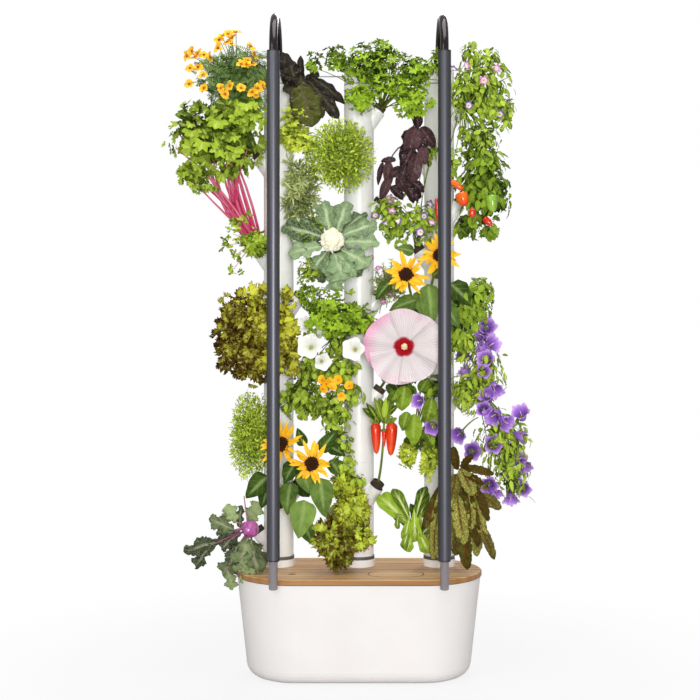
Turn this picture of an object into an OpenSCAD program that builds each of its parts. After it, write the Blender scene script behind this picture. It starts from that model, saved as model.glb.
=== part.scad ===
// Vertical hydroponic garden: a water tank with a wooden lid carries three columns of stacked
// growing modules. Two upright lamps stand in the tank's rim and arch back onto the outer columns.
// Millimetres, +Z up, front towards -Y, origin at the centre of the tank's underside.

/* [Tank] */
// Length of the tank at its rim
tank_length = 604; // [560:1:660]
// Depth of the tank at its rim
tank_depth = 299; // [280:1:330]
// Height of the tank
tank_height = 245; // [200:1:280]
// How far the walls lean in from the rim to the base
tank_draft = 27; // [10:1:40]
// Wall thickness of the tank
tank_wall = 4; // [3:0.5:6]
// Radius of the edge round the base
tank_edge_r = 35; // [20:1:45]
// Radius of an anti-slip pad
pad_r = 15; // [8:0.5:25]
// Thickness of an anti-slip pad, let into the base
pad_t = 2; // [1:0.5:2.5]

/* [Lid] */
// Thickness of the wooden lid
lid_t = 12; // [9:0.5:18]
// How far the lid stands out past the tank's rim
lid_overhang = 3; // [1:0.5:6]
// Bevel along the lid's upper edge
lid_bevel = 2.5; // [1:0.5:4]
// Thickness of the seal between rim and lid
seal_t = 2; // [1:0.5:3]
// Depth of the rib under the lid that centres it in the tank
lid_rib_h = 8; // [4:1:14]
// Length of the oval access cover
cover_length = 137; // [110:1:160]
// Width of the oval access cover
cover_width = 80; // [60:1:90]
// Thickness of the access cover
cover_t = 7; // [4:0.5:9]
// Width of the ledge that carries the access cover
cover_ledge = 8; // [4:0.5:12]
// Access cover to the right of the middle
cover_x = 90; // [60:1:110]
// Access cover forward of the middle
cover_front = 72; // [60:1:85]
// Radius of the small round plug in the lid
plug_r = 9; // [6:0.5:12]
// Plug to the left of the middle
plug_x = 163; // [120:1:175]

/* [Columns] */
// Outer columns in from the ends of the tank
column_margin = 99; // [94:1:108]
// Columns behind the middle of the lid
column_back = 50; // [40:1:60]
// Outside diameter of a column
column_od = 75; // [70:0.5:80]
// Wall thickness of a column
column_wall = 3; // [2:0.25:4]
// Height of one module in the stack
module_pitch = 118.5; // [112:0.5:126]
// Modules in a column
module_count = 10; // [10]
// Length of the spigot that plugs into the module below
spigot_h = 14; // [8:1:20]
// Lean of a growing port from the vertical
port_tilt = 35; // [30:1:40]
// Outside diameter of a growing port
port_od = 40; // [36:0.5:44]
// Bore of a growing port
port_bore = 31.6; // [29:0.1:34]
// Mouth centre of a port out from the column's surface
port_reach = 10.5; // [8:0.5:14]
// Mouth centre of a port above the foot of its module
port_rise = 57; // [50:1:62]
// Turn of the lowest right port of the middle column towards the front
front_turn = 25; // [0:1:35]
// Diameter of the collar on the lid
collar_od = 81; // [78:0.5:86]
// Height of the collar above the lid
collar_h = 18; // [12:1:24]
// Height of the dark seal ring on the collar
ring_h = 8; // [5:1:12]
// Height of a column cap
cap_h = 39; // [34:1:46]
// Thickness of the drip disc under the cap
disc_t = 3; // [2:0.5:5]
// Diameter of the tie rods between the caps
tie_d = 3.5; // [2.5:0.5:6]
// Tie rods below the top of the caps
tie_drop = 17; // [14:1:20]

/* [Pods] */
// Length of a pod inside its port
pod_depth = 50; // [40:1:56]
// How far a pod stands out of its port
pod_proud = 14; // [8:1:18]
// Wall thickness of a pod
pod_wall = 1.5; // [1:0.25:2]
// Width of the bead that seats a pod on its port
pod_bead = 2; // [1:0.25:3]

/* [Lamps] */
// Lamp axes out from the tank's rim
lamp_out = 10.7; // [10:0.1:12]
// Outside diameter of a lamp housing
lamp_od = 31; // [26:0.5:36]
// Wall thickness of a lamp housing
lamp_wall = 2; // [1.5:0.25:3]
// Width of the light slot at the back of the housing
lamp_slot = 20; // [14:0.5:22]
// Gap from the lid's top to the foot of the housing
lamp_lift = 49; // [40:1:60]
// Length of a lamp housing
lamp_length = 1204; // [1190:1:1210]
// Thickness of a lamp's end cap
lamp_cap_t = 3; // [2:0.5:5]
// Diameter of the arch tube
arch_od = 20; // [16:0.5:24]
// Diameter of the smoky foot
foot_od = 21; // [17:0.5:25]
// How deep the foot sits in the tank's rim
foot_seat = 8.5; // [5:0.5:14]
// How deep the arch sits in the column cap
arch_seat = 34; // [24:1:36]

/* [Water] */
// Outside diameter of a hose
hose_od = 8; // [6:0.5:10]
// Bore of a hose
hose_bore = 6; // [4:0.5:7]
// Hoses behind the columns' axes
hose_back = 23; // [21:0.5:24]
// Diameter of the manifold tube
manifold_od = 14; // [12:0.5:18]
// Manifold's axis below the lid
manifold_drop = 19; // [17:1:24]
// Width and height of the pump housing
pump_w = 60; // [56:1:64]
// Length of the pump housing
pump_l = 50; // [44:1:60]
// Pump to the left of the middle
pump_x = 90; // [60:1:120]
// Radius of the pump's impeller
impeller_r = 18; // [14:0.5:20]
// Radius of the impeller's shaft
shaft_r = 2; // [1.5:0.25:3]

// Level sensor in from the left end of the tank
sensor_in = 79; // [75:1:95]
// Tip of the level sensor above the tank's base
sensor_rise = 60; // [40:1:100]
// Radius of the level sensor
sensor_r = 6; // [4:0.5:8]

/* [Fits] */
// Gap between pieces that slot together
fit_gap = 0.3; // [0.2:0.05:0.5]
// Running gap of the impeller on its shaft
run_gap = 0.05; // [0.03:0.01:0.1]

/* [Hidden] */
$fn = 48;

// Heights of the stack, from the tank's rim upwards
lid_z = tank_height + seal_t;
lid_top = lid_z + lid_t;
collar_top = lid_top + collar_h;
stack_z = collar_top + ring_h;
stack_top = stack_z + module_pitch * module_count;
cap_z = stack_top + disc_t;
cap_top = cap_z + cap_h;
tie_z = cap_top - tie_drop;

// Outlines of the tank and the lid: round ends joined by straight sides
rim_r = tank_depth / 2;
straight = tank_length - tank_depth;
draft_angle = atan(tank_draft / tank_height);
lid_r = rim_r + lid_overhang;
rib_r = rim_r - tank_wall / cos(draft_angle) - lid_rib_h * tan(draft_angle) - fit_gap;
rib_w = 4;

// Columns stand in one row along the lid; the lamps stand before the outer two, at the rim
column_spacing = tank_length / 2 - column_margin;
lamp_side = max(0, column_spacing - straight / 2);
lamp_front = sqrt(pow(rim_r + lamp_out, 2) - pow(lamp_side, 2));

// Radii of a column, its port and its pod
column_r = column_od / 2;
bore_r = column_r - column_wall;
neck_r = bore_r + column_wall / 2;
spigot_r = bore_r - fit_gap;
spigot_wall = 2.5;
mouth_r = column_r + port_reach;
port_back = (mouth_r - column_r / 3) / sin(port_tilt);
pod_r = port_bore / 2 - fit_gap;
bead_r = pod_r + pod_bead;
bead_t = 1.5;
plug_top = pod_proud - 3;

// Hoses run inside the columns, behind the pods
hose_r = hose_od / 2;
hose_y = column_back + hose_back;
manifold_r = manifold_od / 2;
manifold_z = lid_z - manifold_drop;
stub_wall = 1.2;
stub_r = hose_r + fit_gap + stub_wall;
stub_h = 15;

// Lamps
lamp_r = lamp_od / 2;
web_t = 2;
board_t = 1.6;
board_end = 6;
lamp_z = lid_top + lamp_lift;
lamp_top = lamp_z + lamp_length;
arch_r = (lamp_front + column_back) / 2;
arch_z = lamp_top + lamp_cap_t;
foot_r = foot_od / 2;
foot_z = tank_height - foot_seat;
leg_z = cap_top - arch_seat;

// Pump: a block on the tank floor with its impeller axis along X
outlet_back = 14;
pump_y = hose_y - outlet_back;
pump_z = tank_wall + pump_w / 2;
pump_front = 9 - pump_l / 2;
pump_round = 6;
chamber_r = impeller_r + 2;
chamber_h = 22;
cover_plate_t = 5;

// Plants: their share of the size drawn below, sides of a ring of leaves and rings in a crown
grow = module_pitch / 118.5;
leaf_sides = 14;
crown_rings = 7;

// Carries a half profile (radius, height) round the tank's oval outline
module racetrack() {
  for (side = [-1, 1])
    translate([side * straight / 2, 0, 0])
      rotate([0, 0, side * -90])
        rotate_extrude(angle = 180) children();
  for (side = [0, 1])
    mirror([0, side, 0])
      translate([-straight / 2, 0, 0])
        rotate([90, 0, 90])
          linear_extrude(straight) children();
}

// Half profile of the tank's skin, set in by a wall: base, round edge, leaning side
function tank_side(wall) =
  let (r = tank_edge_r - wall,
       edge_z = tank_edge_r - tank_edge_r * sin(draft_angle),
       edge_x = rim_r - tank_draft * (1 - edge_z / tank_height) - tank_edge_r * cos(draft_angle))
  concat([[0, wall]],
    [for (i = [0:6]) let (a = -90 + (90 - draft_angle) * i / 6)
      [edge_x + r * cos(a), tank_edge_r + r * sin(a)]],
    [[rim_r - wall / cos(draft_angle), tank_height]]);

function backwards(list) = [for (i = [len(list) - 1:-1:0]) list[i]];

module at_columns() {
  for (x = [-1:1])
    translate([x * column_spacing, column_back, 0]) children();
}

module at_lamps() {
  for (side = [-1, 1])
    translate([side * column_spacing, -lamp_front, 0]) children();
}

module tube(r, bore, h) {
  difference() {
    cylinder(r = r, h = h);
    translate([0, 0, -1]) cylinder(r = bore, h = h + 2);
  }
}

// Oval plate with round ends
module oval(length, width, h) {
  linear_extrude(h) {
    square([length - width, width], center = true);
    for (side = [-1, 1])
      translate([side * (length - width) / 2, 0]) circle(d = width);
  }
}

// Pads lie under the tank in two rows of three
pad_row = (rim_r - tank_draft - tank_edge_r) * 3 / 4;
pad_places = [for (x = [-1, 0, 1], y = [-1, 1]) [x * straight / 2, y * pad_row]];

module tank() {
  color("whitesmoke")
    difference() {
      union() {
        racetrack() polygon(concat(tank_side(0), backwards(tank_side(tank_wall))));
        intersection() {
          racetrack() polygon(concat(tank_side(0), [[0, tank_height]]));
          at_lamps()
            translate([0, 0, foot_z - tank_wall])
              cylinder(r = foot_r + tank_wall, h = foot_seat + tank_wall);
        }
      }
      at_lamps() translate([0, 0, foot_z]) cylinder(r = foot_r + fit_gap, h = foot_seat + 1);
      for (p = pad_places)
        translate([p[0], p[1], -1]) cylinder(r = pad_r + fit_gap, h = pad_t + 1);
    }
}

module tank_pads() {
  color("dimgray")
    for (p = pad_places)
      translate(p) cylinder(r = pad_r, h = pad_t);
}

module lid_seal() {
  color([0.12, 0.11, 0.1])
    difference() {
      racetrack() translate([rib_r + fit_gap, tank_height]) square([rim_r - 1 - rib_r - fit_gap, seal_t]);
      at_lamps() translate([0, 0, tank_height - 1]) cylinder(r = foot_r + tank_wall, h = seal_t + 2);
    }
}

module tank_lid() {
  color("peru")
    difference() {
      union() {
        racetrack()
          polygon([[0, lid_z], [lid_r, lid_z], [lid_r, lid_top - lid_bevel], [lid_r - lid_bevel, lid_top],
            [0, lid_top]]);
        racetrack()
          translate([rib_r - rib_w, lid_z - lid_rib_h]) square([rib_w, lid_rib_h + 1]);
      }
      at_columns() translate([0, 0, lid_z - 1]) cylinder(r = neck_r + fit_gap, h = lid_t + 2);
      at_lamps()
        translate([0, 0, lid_z - lid_rib_h - 1])
          cylinder(r = foot_r + tank_wall + fit_gap, h = lid_rib_h + 1);
      at_lamps() translate([0, 0, lid_z - 1]) cylinder(r = foot_r + 2 * fit_gap, h = lid_t + 2);
      translate([cover_x, -cover_front, lid_top - cover_t])
        oval(cover_length + 4 * fit_gap, cover_width + 4 * fit_gap, cover_t + 1);
      translate([cover_x, -cover_front, lid_z - 1])
        oval(cover_length - 2 * cover_ledge, cover_width - 2 * cover_ledge, lid_t + 2);
      translate([-plug_x, -cover_front, lid_z - 1]) cylinder(r = plug_r + fit_gap, h = lid_t + 2);
    }
}

module access_cover() {
  color("peru")
    translate([cover_x, -cover_front, lid_top - cover_t]) oval(cover_length, cover_width, cover_t);
}

// Round plug with a shoulder under the lid
module lid_plug() {
  color("saddlebrown")
    translate([-plug_x, -cover_front, lid_z]) {
      cylinder(r = plug_r, h = lid_t - 1);
      translate([0, 0, -3]) cylinder(r = plug_r + 3, h = 3);
    }
}

// Flanged collar with a neck through the lid and a small clamp lug at its side
module column_collars() {
  color("white")
    at_columns()
      difference() {
        union() {
          translate([0, 0, lid_top]) cylinder(d = collar_od, h = collar_h);
          translate([0, 0, lid_z - 4]) cylinder(r = neck_r, h = lid_t + 5);
          rotate([0, 0, 29])
            translate([collar_od / 2 + 2, 0, lid_top]) cylinder(r = 3.5, h = 9);
        }
        translate([0, 0, lid_z - 5]) cylinder(r = bore_r, h = lid_t + collar_h + 6);
      }
}

module collar_seals() {
  color([0.3, 0.3, 0.28])
    at_columns() translate([0, 0, collar_top]) tube(column_r + 2, bore_r, ring_h);
}

// One module: tube, slanted port with its lip, and a spigot below
module growing_module() {
  difference() {
    union() {
      cylinder(r = column_r, h = module_pitch - fit_gap);
      intersection() {
        translate([mouth_r, 0, port_rise]) rotate([0, port_tilt, 0])
          translate([0, 0, -port_back]) cylinder(d = port_od, h = port_back);
        cylinder(r = column_od, h = module_pitch - fit_gap);
      }
    }
    translate([0, 0, -1]) cylinder(r = bore_r, h = module_pitch + 2);
    translate([mouth_r, 0, port_rise]) rotate([0, port_tilt, 0]) {
      translate([0, 0, -port_back]) cylinder(d = port_bore, h = port_back + 1);
      cylinder(r = bead_r + 2 * fit_gap, h = port_od);
    }
  }
  translate([0, 0, -spigot_h])
    difference() {
      cylinder(r = spigot_r, h = spigot_h + 2);
      translate([0, 0, -1]) cylinder(r = spigot_r - spigot_wall, h = spigot_h + 4);
    }
  difference() {
    cylinder(r = bore_r + 0.5, h = 2);
    translate([0, 0, -1]) cylinder(r = spigot_r - spigot_wall, h = 4);
  }
}

// Compass turn of a port: even steps face left, odd steps face right
function port_turn(column, step) =
  (step % 2 == 0 ? 180 : 0) - (column == 0 && step == 1 ? front_turn : 0);

module column(x) {
  color("white")
    for (step = [0:module_count - 1])
      translate([x * column_spacing, column_back, stack_z + step * module_pitch])
        rotate([0, 0, port_turn(x, step)]) growing_module();
}

module left_column() { column(-1); }
module centre_column() { column(0); }
module right_column() { column(1); }

module drip_discs() {
  color("gainsboro")
    at_columns()
      translate([0, 0, stack_top])
        difference() {
          cylinder(r = column_r - 0.2, h = disc_t);
          translate([0, hose_y - column_back, -1]) cylinder(r = hose_r + fit_gap, h = disc_t + 2);
          for (a = [0:40:320])
            rotate([0, 0, a + 110])
              translate([bore_r * 0.62, 0, -1]) cylinder(r = 1.6, h = disc_t + 2);
        }
}

// Domed cap; the outer two hold a socket for the lamp's arch
module column_caps() {
  round_r = 8;
  socket_r = arch_od / 2 + fit_gap;
  color("white")
    for (x = [-1:1])
      translate([x * column_spacing, column_back, cap_z])
        difference() {
          rotate_extrude()
            polygon(concat([[0, 0], [column_r, 0]],
              [for (a = [0:18:90]) [column_r, cap_h] - round_r * [1 - cos(a), 1 - sin(a)]],
              [[0, cap_h]]));
          difference() {
            translate([0, 0, -1]) cylinder(r = bore_r, h = cap_h + 1 - column_wall);
            if (x != 0)
              translate([0, 0, cap_h - arch_seat - column_wall])
                cylinder(r = socket_r + column_wall, h = arch_seat + column_wall + 1);
          }
          if (x != 0)
            translate([0, 0, cap_h - arch_seat]) cylinder(r = socket_r, h = arch_seat + 1);
          for (side = [-1, 1])
            if (x + side >= -1 && x + side <= 1)
              translate([0, 0, tie_z - cap_z]) rotate([0, side * 90, 0])
                translate([0, 0, bore_r - 1]) cylinder(d = tie_d + fit_gap, h = column_wall + 2);
        }
}

module tie_rods() {
  color("dimgray")
    for (side = [-1, 1])
      translate([side * bore_r, column_back, tie_z])
        rotate([0, side * 90, 0]) cylinder(d = tie_d, h = column_spacing - 2 * bore_r);
}

module riser_hoses() {
  color("lightgray") {
    for (x = [-1:1])
      translate([x * column_spacing, hose_y, manifold_z + 5])
        tube(hose_r, hose_bore / 2, cap_z + 2 - manifold_z - 5);
    translate([-pump_x, hose_y, pump_z + pump_w / 2 + 3])
      tube(hose_r, hose_bore / 2, manifold_z - 6 - pump_z - pump_w / 2 - 3);
  }
}

// Tube under the lid with a stub for each hose and two flat saddles against the lid
module manifold() {
  length = 2 * column_spacing + 20;
  color("gray")
    difference() {
      union() {
        translate([-length / 2, hose_y, manifold_z])
          rotate([0, 90, 0]) cylinder(r = manifold_r, h = length);
        for (x = [-1:1])
          translate([x * column_spacing, hose_y, manifold_z]) cylinder(r = stub_r, h = stub_h);
        translate([-pump_x, hose_y, manifold_z - stub_h]) cylinder(r = stub_r, h = stub_h);
        for (side = [-1, 1])
          translate([side * column_spacing / 2 - manifold_r, hose_y - manifold_r, manifold_z])
            cube([manifold_od, manifold_od, manifold_drop]);
      }
      translate([-length / 2 + 3, hose_y, manifold_z]) rotate([0, 90, 0])
        cylinder(r = manifold_r - 2, h = length - 6);
      for (x = [-1:1])
        translate([x * column_spacing, hose_y, manifold_z])
          cylinder(r = hose_r + fit_gap, h = stub_h + 1);
      translate([-pump_x, hose_y, manifold_z - stub_h - 1])
        cylinder(r = hose_r + fit_gap, h = stub_h + 1);
    }
}

// Probe that hangs from the lid with a flange and a round tip
module level_sensor() {
  length = lid_z - sensor_rise - sensor_r;
  flange_t = 4;
  color("gray")
    translate([sensor_in - tank_length / 2, -cover_front / 2, sensor_rise + sensor_r]) {
      cylinder(r = sensor_r, h = length);
      sphere(r = sensor_r);
      translate([0, 0, length - flange_t]) cylinder(r = 2.5 * sensor_r, h = flange_t);
    }
}

// Pump pieces are drawn with the impeller axis on +X and moved to the tank floor
module at_pump() {
  translate([-pump_x, pump_y, pump_z]) children();
}

module pump_housing() {
  color("dimgray")
    at_pump()
      difference() {
        union() {
          translate([pump_front, 0, 0]) rotate([90, 0, 90])
            linear_extrude(pump_l) offset(r = pump_round) square(pump_w - 2 * pump_round, center = true);
          translate([0, outlet_back, pump_w / 2 - 1]) cylinder(r = stub_r, h = 14);
        }
        difference() {
          translate([pump_front - 1, 0, 0]) rotate([0, 90, 0]) cylinder(r = chamber_r, h = chamber_h + 1);
          translate([pump_front - 2, 0, 0]) rotate([0, 90, 0]) cylinder(r = shaft_r, h = chamber_h + 3);
        }
        translate([pump_front - 2, 0, 0]) rotate([0, 90, 0]) cylinder(r = shaft_r + 1, h = 2);
        translate([0, outlet_back, 4]) cylinder(r = hose_bore / 2, h = pump_w);
        translate([0, outlet_back, pump_w / 2 + 3]) cylinder(r = hose_r + fit_gap, h = 12);
      }
}

module pump_cover() {
  color("gray")
    at_pump()
      translate([pump_front - cover_plate_t, 0, 0]) rotate([90, 0, 90])
        linear_extrude(cover_plate_t)
          difference() {
            offset(r = pump_round) square(pump_w - 2 * pump_round, center = true);
            circle(r = chamber_r / 2);
          }
}

// Slotted cup over the pump's intake
module pump_strainer() {
  depth = 22;
  color("darkslategray")
    at_pump()
      translate([pump_front - cover_plate_t, 0, 0]) rotate([0, -90, 0])
        difference() {
          cylinder(r = chamber_r + 3, h = depth);
          translate([0, 0, -1]) cylinder(r = chamber_r + 1, h = depth - 1);
          for (a = [0:30:150])
            rotate([0, 0, a])
              translate([-chamber_r - 5, -1.5, 4]) cube([2 * chamber_r + 10, 3, depth - 10]);
        }
}

module pump_impeller() {
  color("white")
    at_pump()
      translate([pump_front + 4, 0, 0]) rotate([0, 90, 0])
        difference() {
          union() {
            translate([0, 0, 10]) cylinder(r = impeller_r, h = 3);
            cylinder(r = shaft_r + 4, h = chamber_h - 4 - fit_gap);
            for (a = [0:60:300])
              rotate([0, 0, a]) translate([shaft_r + 2, -1, 2]) cube([impeller_r - shaft_r - 3, 2, 9]);
          }
          translate([0, 0, -1]) cylinder(r = shaft_r + run_gap, h = chamber_h + 2);
        }
}

// Lamp pieces stand on the lamp's own axis; the light slot faces the plants
module at_lamp(side) {
  translate([side * column_spacing, -lamp_front, 0]) children();
}

module lamp_housing(side) {
  color([0.2, 0.2, 0.22])
    at_lamp(side) translate([0, 0, lamp_z])
      linear_extrude(lamp_length) {
        difference() {
          circle(r = lamp_r);
          circle(r = lamp_r - lamp_wall);
          translate([-lamp_slot / 2, 0]) square([lamp_slot, lamp_od]);
        }
        intersection() {
          circle(r = lamp_r - lamp_wall / 2);
          translate([-lamp_r, -web_t / 2]) square([lamp_od, web_t]);
        }
      }
}

module led_board(side) {
  color("ivory")
    at_lamp(side)
      translate([-lamp_slot / 2 + 1, web_t / 2, lamp_z + board_end])
        cube([lamp_slot - 2, board_t, lamp_length - 2 * board_end]);
}

module diffuser(side) {
  color([0.95, 0.95, 0.92])
    at_lamp(side) translate([0, 0, lamp_z + 1])
      linear_extrude(lamp_length - 2)
        intersection() {
          difference() {
            circle(r = lamp_r - 0.2);
            circle(r = lamp_r - lamp_wall);
          }
          translate([-lamp_slot / 2 + 0.2, web_t / 2]) square([lamp_slot - 0.4, lamp_od]);
        }
}

module lamp_caps(side) {
  color([0.12, 0.12, 0.13])
    at_lamp(side) {
      translate([0, 0, lamp_top]) tube(lamp_r, arch_od / 2 + 0.1, lamp_cap_t);
      translate([0, 0, lamp_z - lamp_cap_t]) tube(lamp_r - 1, foot_r - 2.4, lamp_cap_t);
    }
}

// Half ring from the lamp back to the column, with a straight leg into the column cap
module arch(side) {
  color([0.15, 0.14, 0.15])
    at_lamp(side) {
      translate([0, arch_r, arch_z]) rotate([90, 0, 90])
        rotate_extrude(angle = 180) translate([arch_r, 0]) circle(d = arch_od);
      translate([0, 0, lamp_top]) cylinder(d = arch_od, h = lamp_cap_t);
      translate([0, 2 * arch_r, leg_z]) cylinder(d = arch_od, h = arch_z - leg_z);
    }
}

// Smoky tube with a rounded foot; its narrow top plugs into the bottom cap
module foot(side) {
  edge = 3;
  top = lamp_z - lamp_cap_t;
  color([0.55, 0.53, 0.55])
    at_lamp(side)
      rotate_extrude()
        polygon(concat([[0, foot_z]],
          [for (a = [-90:30:0]) [foot_r - edge + edge * cos(a), foot_z + edge + edge * sin(a)]],
          [[foot_r, top], [foot_r - 2.5, top], [foot_r - 2.5, lamp_z], [foot_r - 4, lamp_z],
           [foot_r - 4, foot_z + 5], [0, foot_z + 5]]));
}

module left_lamp_housing() { lamp_housing(-1); }
module left_led_board() { led_board(-1); }
module left_diffuser() { diffuser(-1); }
module left_lamp_caps() { lamp_caps(-1); }
module left_arch() { arch(-1); }
module left_foot() { foot(-1); }
module right_lamp_housing() { lamp_housing(1); }
module right_led_board() { led_board(1); }
module right_diffuser() { diffuser(1); }
module right_lamp_caps() { lamp_caps(1); }
module right_arch() { arch(1); }
module right_foot() { foot(1); }

// Places of the ports: outward direction, mouth centre and axis
function port_out(port) =
  let (turn = port_turn(port[0], port[1])) [cos(turn), sin(turn), 0];
function port_mouth(port) =
  [port[0] * column_spacing, column_back, stack_z + port[1] * module_pitch + port_rise]
    + mouth_r * port_out(port);
function port_axis(port) = sin(port_tilt) * port_out(port) + [0, 0, cos(port_tilt)];

// Open pod: a tapered cup with a bead that seats on the port's lip
module pod(port) {
  tip_r = pod_r - 2.5;
  drain_r = 4;
  color([0.2, 0.15, 0.1])
    translate(port_mouth(port))
      rotate([0, 0, port_turn(port[0], port[1])]) rotate([0, port_tilt, 0])
        rotate_extrude()
          polygon([[drain_r, -pod_depth], [tip_r, -pod_depth], [pod_r, -pod_depth / 2], [pod_r, 0],
            [bead_r, 0], [bead_r, bead_t], [pod_r, bead_t], [pod_r, pod_proud],
            [pod_r - pod_wall, pod_proud], [pod_r - pod_wall, -pod_depth / 2],
            [tip_r - pod_wall, -pod_depth + pod_wall], [drain_r, -pod_depth + pod_wall]]);
}

kohlrabi_port = [-1, 0];
bok_choy_port = [1, 0];
chilli_port = [0, 1];
single_pods = [kohlrabi_port, bok_choy_port, chilli_port];

module pods() {
  for (x = [-1:1], step = [0:module_count - 1])
    if (len([for (p = single_pods) if (p == [x, step]) 1]) == 0)
      pod([x, step]);
}

module kohlrabi_pod() { pod(kohlrabi_port); }
module bok_choy_pod() { pod(bok_choy_port); }
module chilli_pod() { pod(chilli_port); }

function unit(v) = v / norm(v);
function product(a, b) = [a[0] * b[0], a[1] * b[1], a[2] * b[2]];
function across(v, axis) = unit(v - (v * axis) * axis);
function ring(centre, side_a, side_b, r) =
  [for (i = [0:leaf_sides - 1]) let (a = 360 * i / leaf_sides)
    centre + r * (cos(a) * side_a + sin(a) * side_b)];

// Centre of a crown: reach is measured outwards, backwards and upwards from the port's mouth
function crown_centre(port, reach) =
  port_mouth(port) + grow * [(port[1] % 2 == 0 ? -1 : 1) * reach[0], reach[1], reach[2]];

// One plant: the rooted plug in its pod, a stem along the port, then an oval crown of ruffled rings.
// The crown's poles lie on the line from the stem to its centre, so the stem enters it squarely.
module sprout(port, reach, size, stem_r = 4, ruffle = 0.1) {
  mouth = port_mouth(port);
  axis = port_axis(port);
  centre = crown_centre(port, reach);
  half = grow * size / 2;
  neck = mouth + (pod_proud + 8) * axis;
  pole = unit([for (i = [0:2]) (neck[i] - centre[i]) / half[i]]);
  near = centre + product(half, pole);
  side_a = across([0, 0, 1] + 0.01 * [1, 1, 0], pole);
  side_b = cross(pole, side_a);
  stem = unit(near - neck);
  stem_a = across(product(half, side_a), stem);
  stem_b = cross(stem_a, stem);
  plug_a = across(stem_a, axis);
  plug_b = cross(plug_a, axis);
  root_r = pod_r - pod_wall - fit_gap;
  root = mouth - (pod_depth / 2 - 2) * axis;
  rings = concat(
    [ring(root, plug_a, plug_b, root_r)],
    [ring(mouth + plug_top * axis, plug_a, plug_b, root_r)],
    [ring(mouth + (plug_top + 1) * axis, plug_a, plug_b, stem_r)],
    [ring(neck, plug_a, plug_b, stem_r)],
    [ring(near - 2 * stem, stem_a, stem_b, stem_r)],
    [for (j = [1:crown_rings]) let (tilt = 180 * j / (crown_rings + 1))
      [for (i = [0:leaf_sides - 1])
        let (a = 360 * i / leaf_sides, swell = 1 + ruffle * cos(180 * (i + j)),
             rim = cos(a) * side_a + sin(a) * side_b)
        centre + product(half, swell * (cos(tilt) * pole + sin(tilt) * rim))]]);
  count = len(rings);
  points = concat([for (r = rings) each r], [root, centre - product(half, pole)]);
  foot = count * leaf_sides;
  faces = concat(
    [for (j = [0:count - 2], i = [0:leaf_sides - 1]) let (k = (i + 1) % leaf_sides)
      each [[j * leaf_sides + i, j * leaf_sides + k, (j + 1) * leaf_sides + i],
            [j * leaf_sides + k, (j + 1) * leaf_sides + k, (j + 1) * leaf_sides + i]]],
    [for (i = [0:leaf_sides - 1]) let (k = (i + 1) % leaf_sides) [foot, k, i]],
    [for (i = [0:leaf_sides - 1]) let (k = (i + 1) % leaf_sides, last = (count - 1) * leaf_sides)
      [foot + 1, last + i, last + k]]);
  polyhedron(points, faces);
}

// Straight stalk from one point to another
module stalk(from, to, r = 2.5) {
  way = to - from;
  translate(from)
    rotate([0, acos(way[2] / norm(way)), atan2(way[1], way[0])])
      cylinder(r = r, h = norm(way), $fn = 16);
}

// Sunflower head that faces the front: a seed disc in a wheel of pointed petals
module sunflower_head(place, r) {
  petals = 13;
  disc = 0.19 * r;
  translate(place) rotate([90, 0, 0]) {
    linear_extrude(0.07 * r)
      polygon([for (i = [0:2 * petals - 1]) let (a = 180 * i / petals)
        (i % 2 == 0 ? r : 0.72 * r) * [cos(a), sin(a)]]);
    cylinder(r1 = 0.44 * r, r2 = 0.36 * r, h = disc);
    translate([0, 0, -disc]) cylinder(r1 = 0.12 * r, r2 = 0.4 * r, h = disc);
  }
}

module marigold() {
  color("darkgreen") sprout([-1, 8], [60, -95, 185], [170, 100, 160]);
}

module red_celery() {
  color("yellowgreen") sprout([-1, 6], [95, -80, 240], [215, 130, 185], stem_r = 13);
}

module leaf_lettuce() {
  color("olive") sprout([-1, 4], [0, -110, 25], [215, 118, 240]);
}

module cress() {
  color("greenyellow") {
    sprout([-1, 2], [20, -90, 15], [95, 95, 190]);
    sprout([0, 8], [0, -100, -10], [150, 108, 170]);
  }
}

// Leaves and the swollen purple stem in front of them
module kohlrabi() {
  leaf_reach = [60, -90, 15];
  bulb = crown_centre(kohlrabi_port, leaf_reach) + grow * [48, -40, 14];
  color("purple") {
    sprout(kohlrabi_port, leaf_reach, [155, 112, 165]);
    translate(bulb) sphere(r = 23 * grow);
  }
}

module red_romaine() {
  color("maroon") sprout([-1, 9], [30, -60, 45], [115, 90, 150]);
}

module rosemary() {
  color("darkolivegreen") {
    sprout([-1, 7], [5, -60, 12], [85, 60, 160]);
    sprout([0, 5], [50, -40, 40], [60, 60, 105]);
  }
}

module parsley() {
  color("forestgreen") {
    sprout([0, 9], [15, -105, 60], [235, 116, 165]);
    sprout([0, 4], [5, -110, 65], [170, 95, 122]);
    sprout([-1, 5], [66, -10, -30], [80, 60, 125]);
  }
}

module petunia() {
  color("palegreen") sprout([-1, 3], [40, -60, 70], [90, 76, 115]);
}

// Heart-leaved clumps with two flower heads each
module sunflowers() {
  head_r = 43 * grow;
  left_reach = [-15, -110, -30];
  right_reach = [-15, -110, 100];
  left_leaves = crown_centre([-1, 1], left_reach);
  right_leaves = crown_centre([1, 4], right_reach);
  color("gold") {
    sprout([-1, 1], left_reach, [110, 90, 135]);
    for (head = [[-10, -40, 158], [57, -40, 115]]) {
      sunflower_head(left_leaves + grow * head, head_r);
      stalk(left_leaves + grow * (head + [0, 4, 0]), left_leaves + grow * [0.3 * head[0], -5, 40]);
    }
    sprout([1, 4], right_reach, [145, 90, 92]);
    for (head = [[-58, -40, 84], [14, -40, 112]]) {
      sunflower_head(right_leaves + grow * head, head_r);
      stalk(right_leaves + grow * (head + [0, 4, 0]), right_leaves + grow * [0.5 * head[0], -5, 25]);
    }
  }
}

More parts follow.
